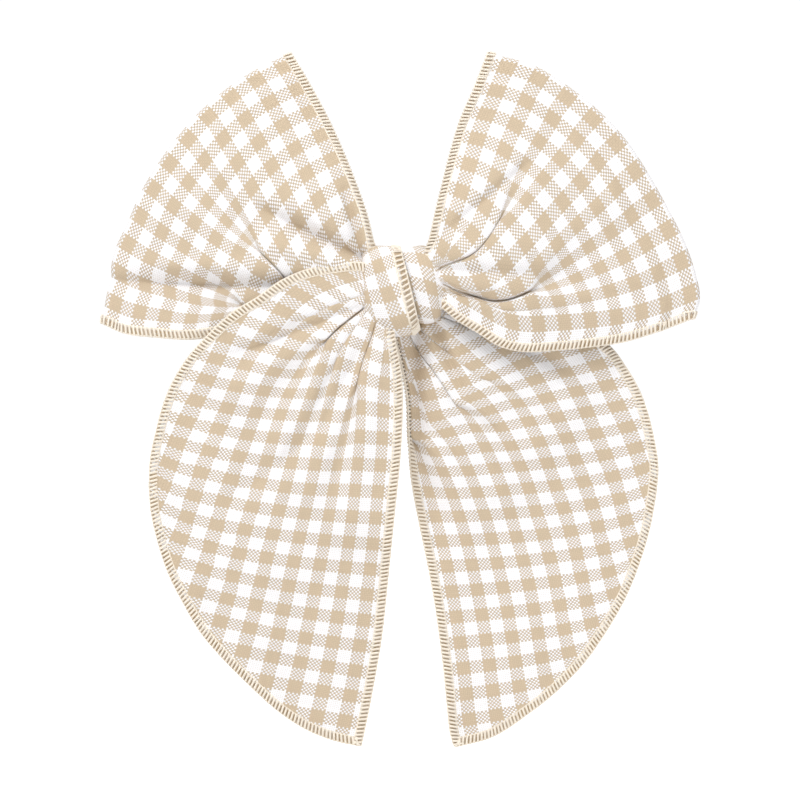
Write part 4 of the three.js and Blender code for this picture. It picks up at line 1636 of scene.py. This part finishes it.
    def build(self) -> None:
        """Makes every piece of the bow in order, from the back to the front."""
        cloth = GinghamFinish().material()
        thread = ThreadFinish("serging_thread", tint(250, 242, 229), tint(236, 225, 208)).material()
        sewing = ThreadFinish("sewing_thread", tint(243, 238, 226), tint(216, 206, 186)).material()
        right_tail, left_tail = self.right_tail(), self.left_tail()
        left_loop, right_loop = self.left_loop(), self.right_loop()
        for panel in (right_tail, left_loop, right_loop, left_tail):
            panel.build(cloth)
        for name, panel, edge, node, pitch in (
            ("left_tail_serging", left_tail, "round", "left_tail_edging", 1.05),
            ("right_tail_serging", right_tail, "round", "right_tail_edging", 1.02),
            ("left_loop_upper_serging", left_loop, "upper", "left_loop_upper_edging", 1.0),
            ("left_loop_lower_serging", left_loop, "lower", "left_loop_lower_edging", 1.1),
            ("right_loop_upper_serging", right_loop, "upper", "right_loop_upper_edging", 1.0),
            ("right_loop_lower_serging", right_loop, "lower", "right_loop_lower_edging", 1.1),
        ):
            stitches = Serging(name, pitch=pitch)
            stitches.follow(*panel.edges[edge])
            stitches.build(thread, [node])
        PinchedMiddle(
            stations=[
                Station(-10.5, 7.6, -4.0, -14.6),
                Station(-6, 6.4, -5.6, -15.4),
                Station(0, 6.4, -7.0, -15.8),
                Station(6, 6.8, -5.4, -15.2),
                Station(10.8, 6.6, -2.6, -13.6),
            ]
        ).build(cloth)
        self.knot(cloth, thread)
        self.winding(sewing)

    def winding(self, finish: bpy.types.Material) -> None:
        """Winds the gathering thread round the pinched middle."""
        low, high = (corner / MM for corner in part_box("gathering_thread"))
        turn = np.linspace(0, 2 * math.pi * 5, 260)
        half_y = (high.y - low.y) / 2 - 0.3
        half_z = (high.z - low.z) / 2 - 0.3
        middle = (low + high) / 2
        x = middle.x + np.linspace(-1.1, 1.1, len(turn)) + 0.12 * np.sin(3.7 * turn)
        points = np.stack([x, middle.y + half_y * np.cos(turn), middle.z + half_z * np.sin(turn)], axis=1)
        piece = rope("gathering_winding", points, 0.2, 8)
        piece.data.materials.append(finish)
        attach(piece, BOW_BODY)
        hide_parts("gathering_thread")


# ---------------------------------------------------------------- the studio


@dataclass
class Studio:
    """A white floor, soft lights and the camera straight in front of the bow."""

    floor_gap: float = 0.0008
    lens: float = 100.0
    fill_of_frame: float = 0.89
    sky_light: float = 0.43
    backdrop_light: float = 1.05
    floor_reach: float = 60.0
    sensor: float = 36.0
    aim: tuple[float, float, float] = (0.0, 0.0, -0.03)
    lamps: tuple[tuple[str, tuple[float, float, float], float, float], ...] = (
        ("key", (-0.4, -0.7, 0.8), 0.5, 7.3),
        ("fill", (0.75, -0.8, 0.25), 0.9, 2.1),
        ("top", (0.05, -0.1, 0.9), 0.8, 2.1),
        ("back", (0.3, 0.95, 0.55), 0.8, 5.0),
    )

    def floor(self) -> None:
        """Lays the wide white floor."""
        low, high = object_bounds()
        height = low[2] - self.floor_gap
        reach = self.floor_reach
        mesh = bpy.data.meshes.new("studio_floor")
        corners = [
            (-reach, -reach, height),
            (reach, -reach, height),
            (reach, reach, height),
            (-reach, reach, height),
        ]
        mesh.from_pydata(corners, [], [(0, 1, 2, 3)])
        floor = bpy.data.objects.new("studio_floor", mesh)
        bpy.context.scene.collection.objects.link(floor)
        mesh.materials.append(PaperFinish().material())
        floor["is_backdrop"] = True

    def light(self, name: str, place: tuple[float, float, float], size: float, watts: float) -> None:
        """Hangs one soft light aimed at the bow."""
        data = bpy.data.lights.new(name, "AREA")
        data.shape = "DISK"
        data.size = size
        data.energy = watts
        lamp = bpy.data.objects.new(name, data)
        lamp.location = place
        lamp.rotation_euler = (Vector(self.aim) - Vector(place)).to_track_quat("-Z", "Y").to_euler()
        bpy.context.scene.collection.objects.link(lamp)

    def camera(self) -> None:
        """Stands the camera level with the bow's middle."""
        low, high = (Vector(corner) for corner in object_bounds())
        data = bpy.data.cameras.new("camera")
        data.lens = self.lens
        data.sensor_width = self.sensor
        tall = (high.z - low.z) / self.fill_of_frame
        distance = tall * data.lens / data.sensor_width
        camera = bpy.data.objects.new("camera", data)
        camera.location = ((low.x + high.x) / 2, low.y - distance, (low.z + high.z) / 2)
        camera.rotation_euler = (math.pi / 2, 0, 0)
        bpy.context.scene.collection.objects.link(camera)
        bpy.context.scene.camera = camera

    def build(self) -> None:
        """Sets up the floor, the lights, the sky and the camera."""
        self.floor()
        for name, place, size, watts in self.lamps:
            self.light(name, place, size, watts)
        world = bpy.data.worlds.new("studio")
        world.use_nodes = True
        world.node_tree.nodes["Background"].inputs["Color"].default_value = (1, 1, 1, 1)
        seen = world.node_tree.nodes.new("ShaderNodeLightPath").outputs["Is Camera Ray"]
        bright = world.node_tree.nodes.new("ShaderNodeMath")
        bright.operation = "MULTIPLY_ADD"
        bright.inputs[1].default_value = self.backdrop_light - self.sky_light
        bright.inputs[2].default_value = self.sky_light
        world.node_tree.links.new(seen, bright.inputs[0])
        world.node_tree.links.new(bright.outputs[0], world.node_tree.nodes["Background"].inputs["Strength"])
        bpy.context.scene.world = world
        bpy.context.scene.view_settings.view_transform = "Standard"
        self.camera()
        log.info("studio: floor, four lights and the camera")


def main() -> None:
    """Builds the bow, its clip and the studio."""
    logging.basicConfig(level=logging.INFO, format="%(name)s: %(message)s")
    Bow().build()
    Clip().build()
    Studio().build()


if __name__ == "__main__":
    main()
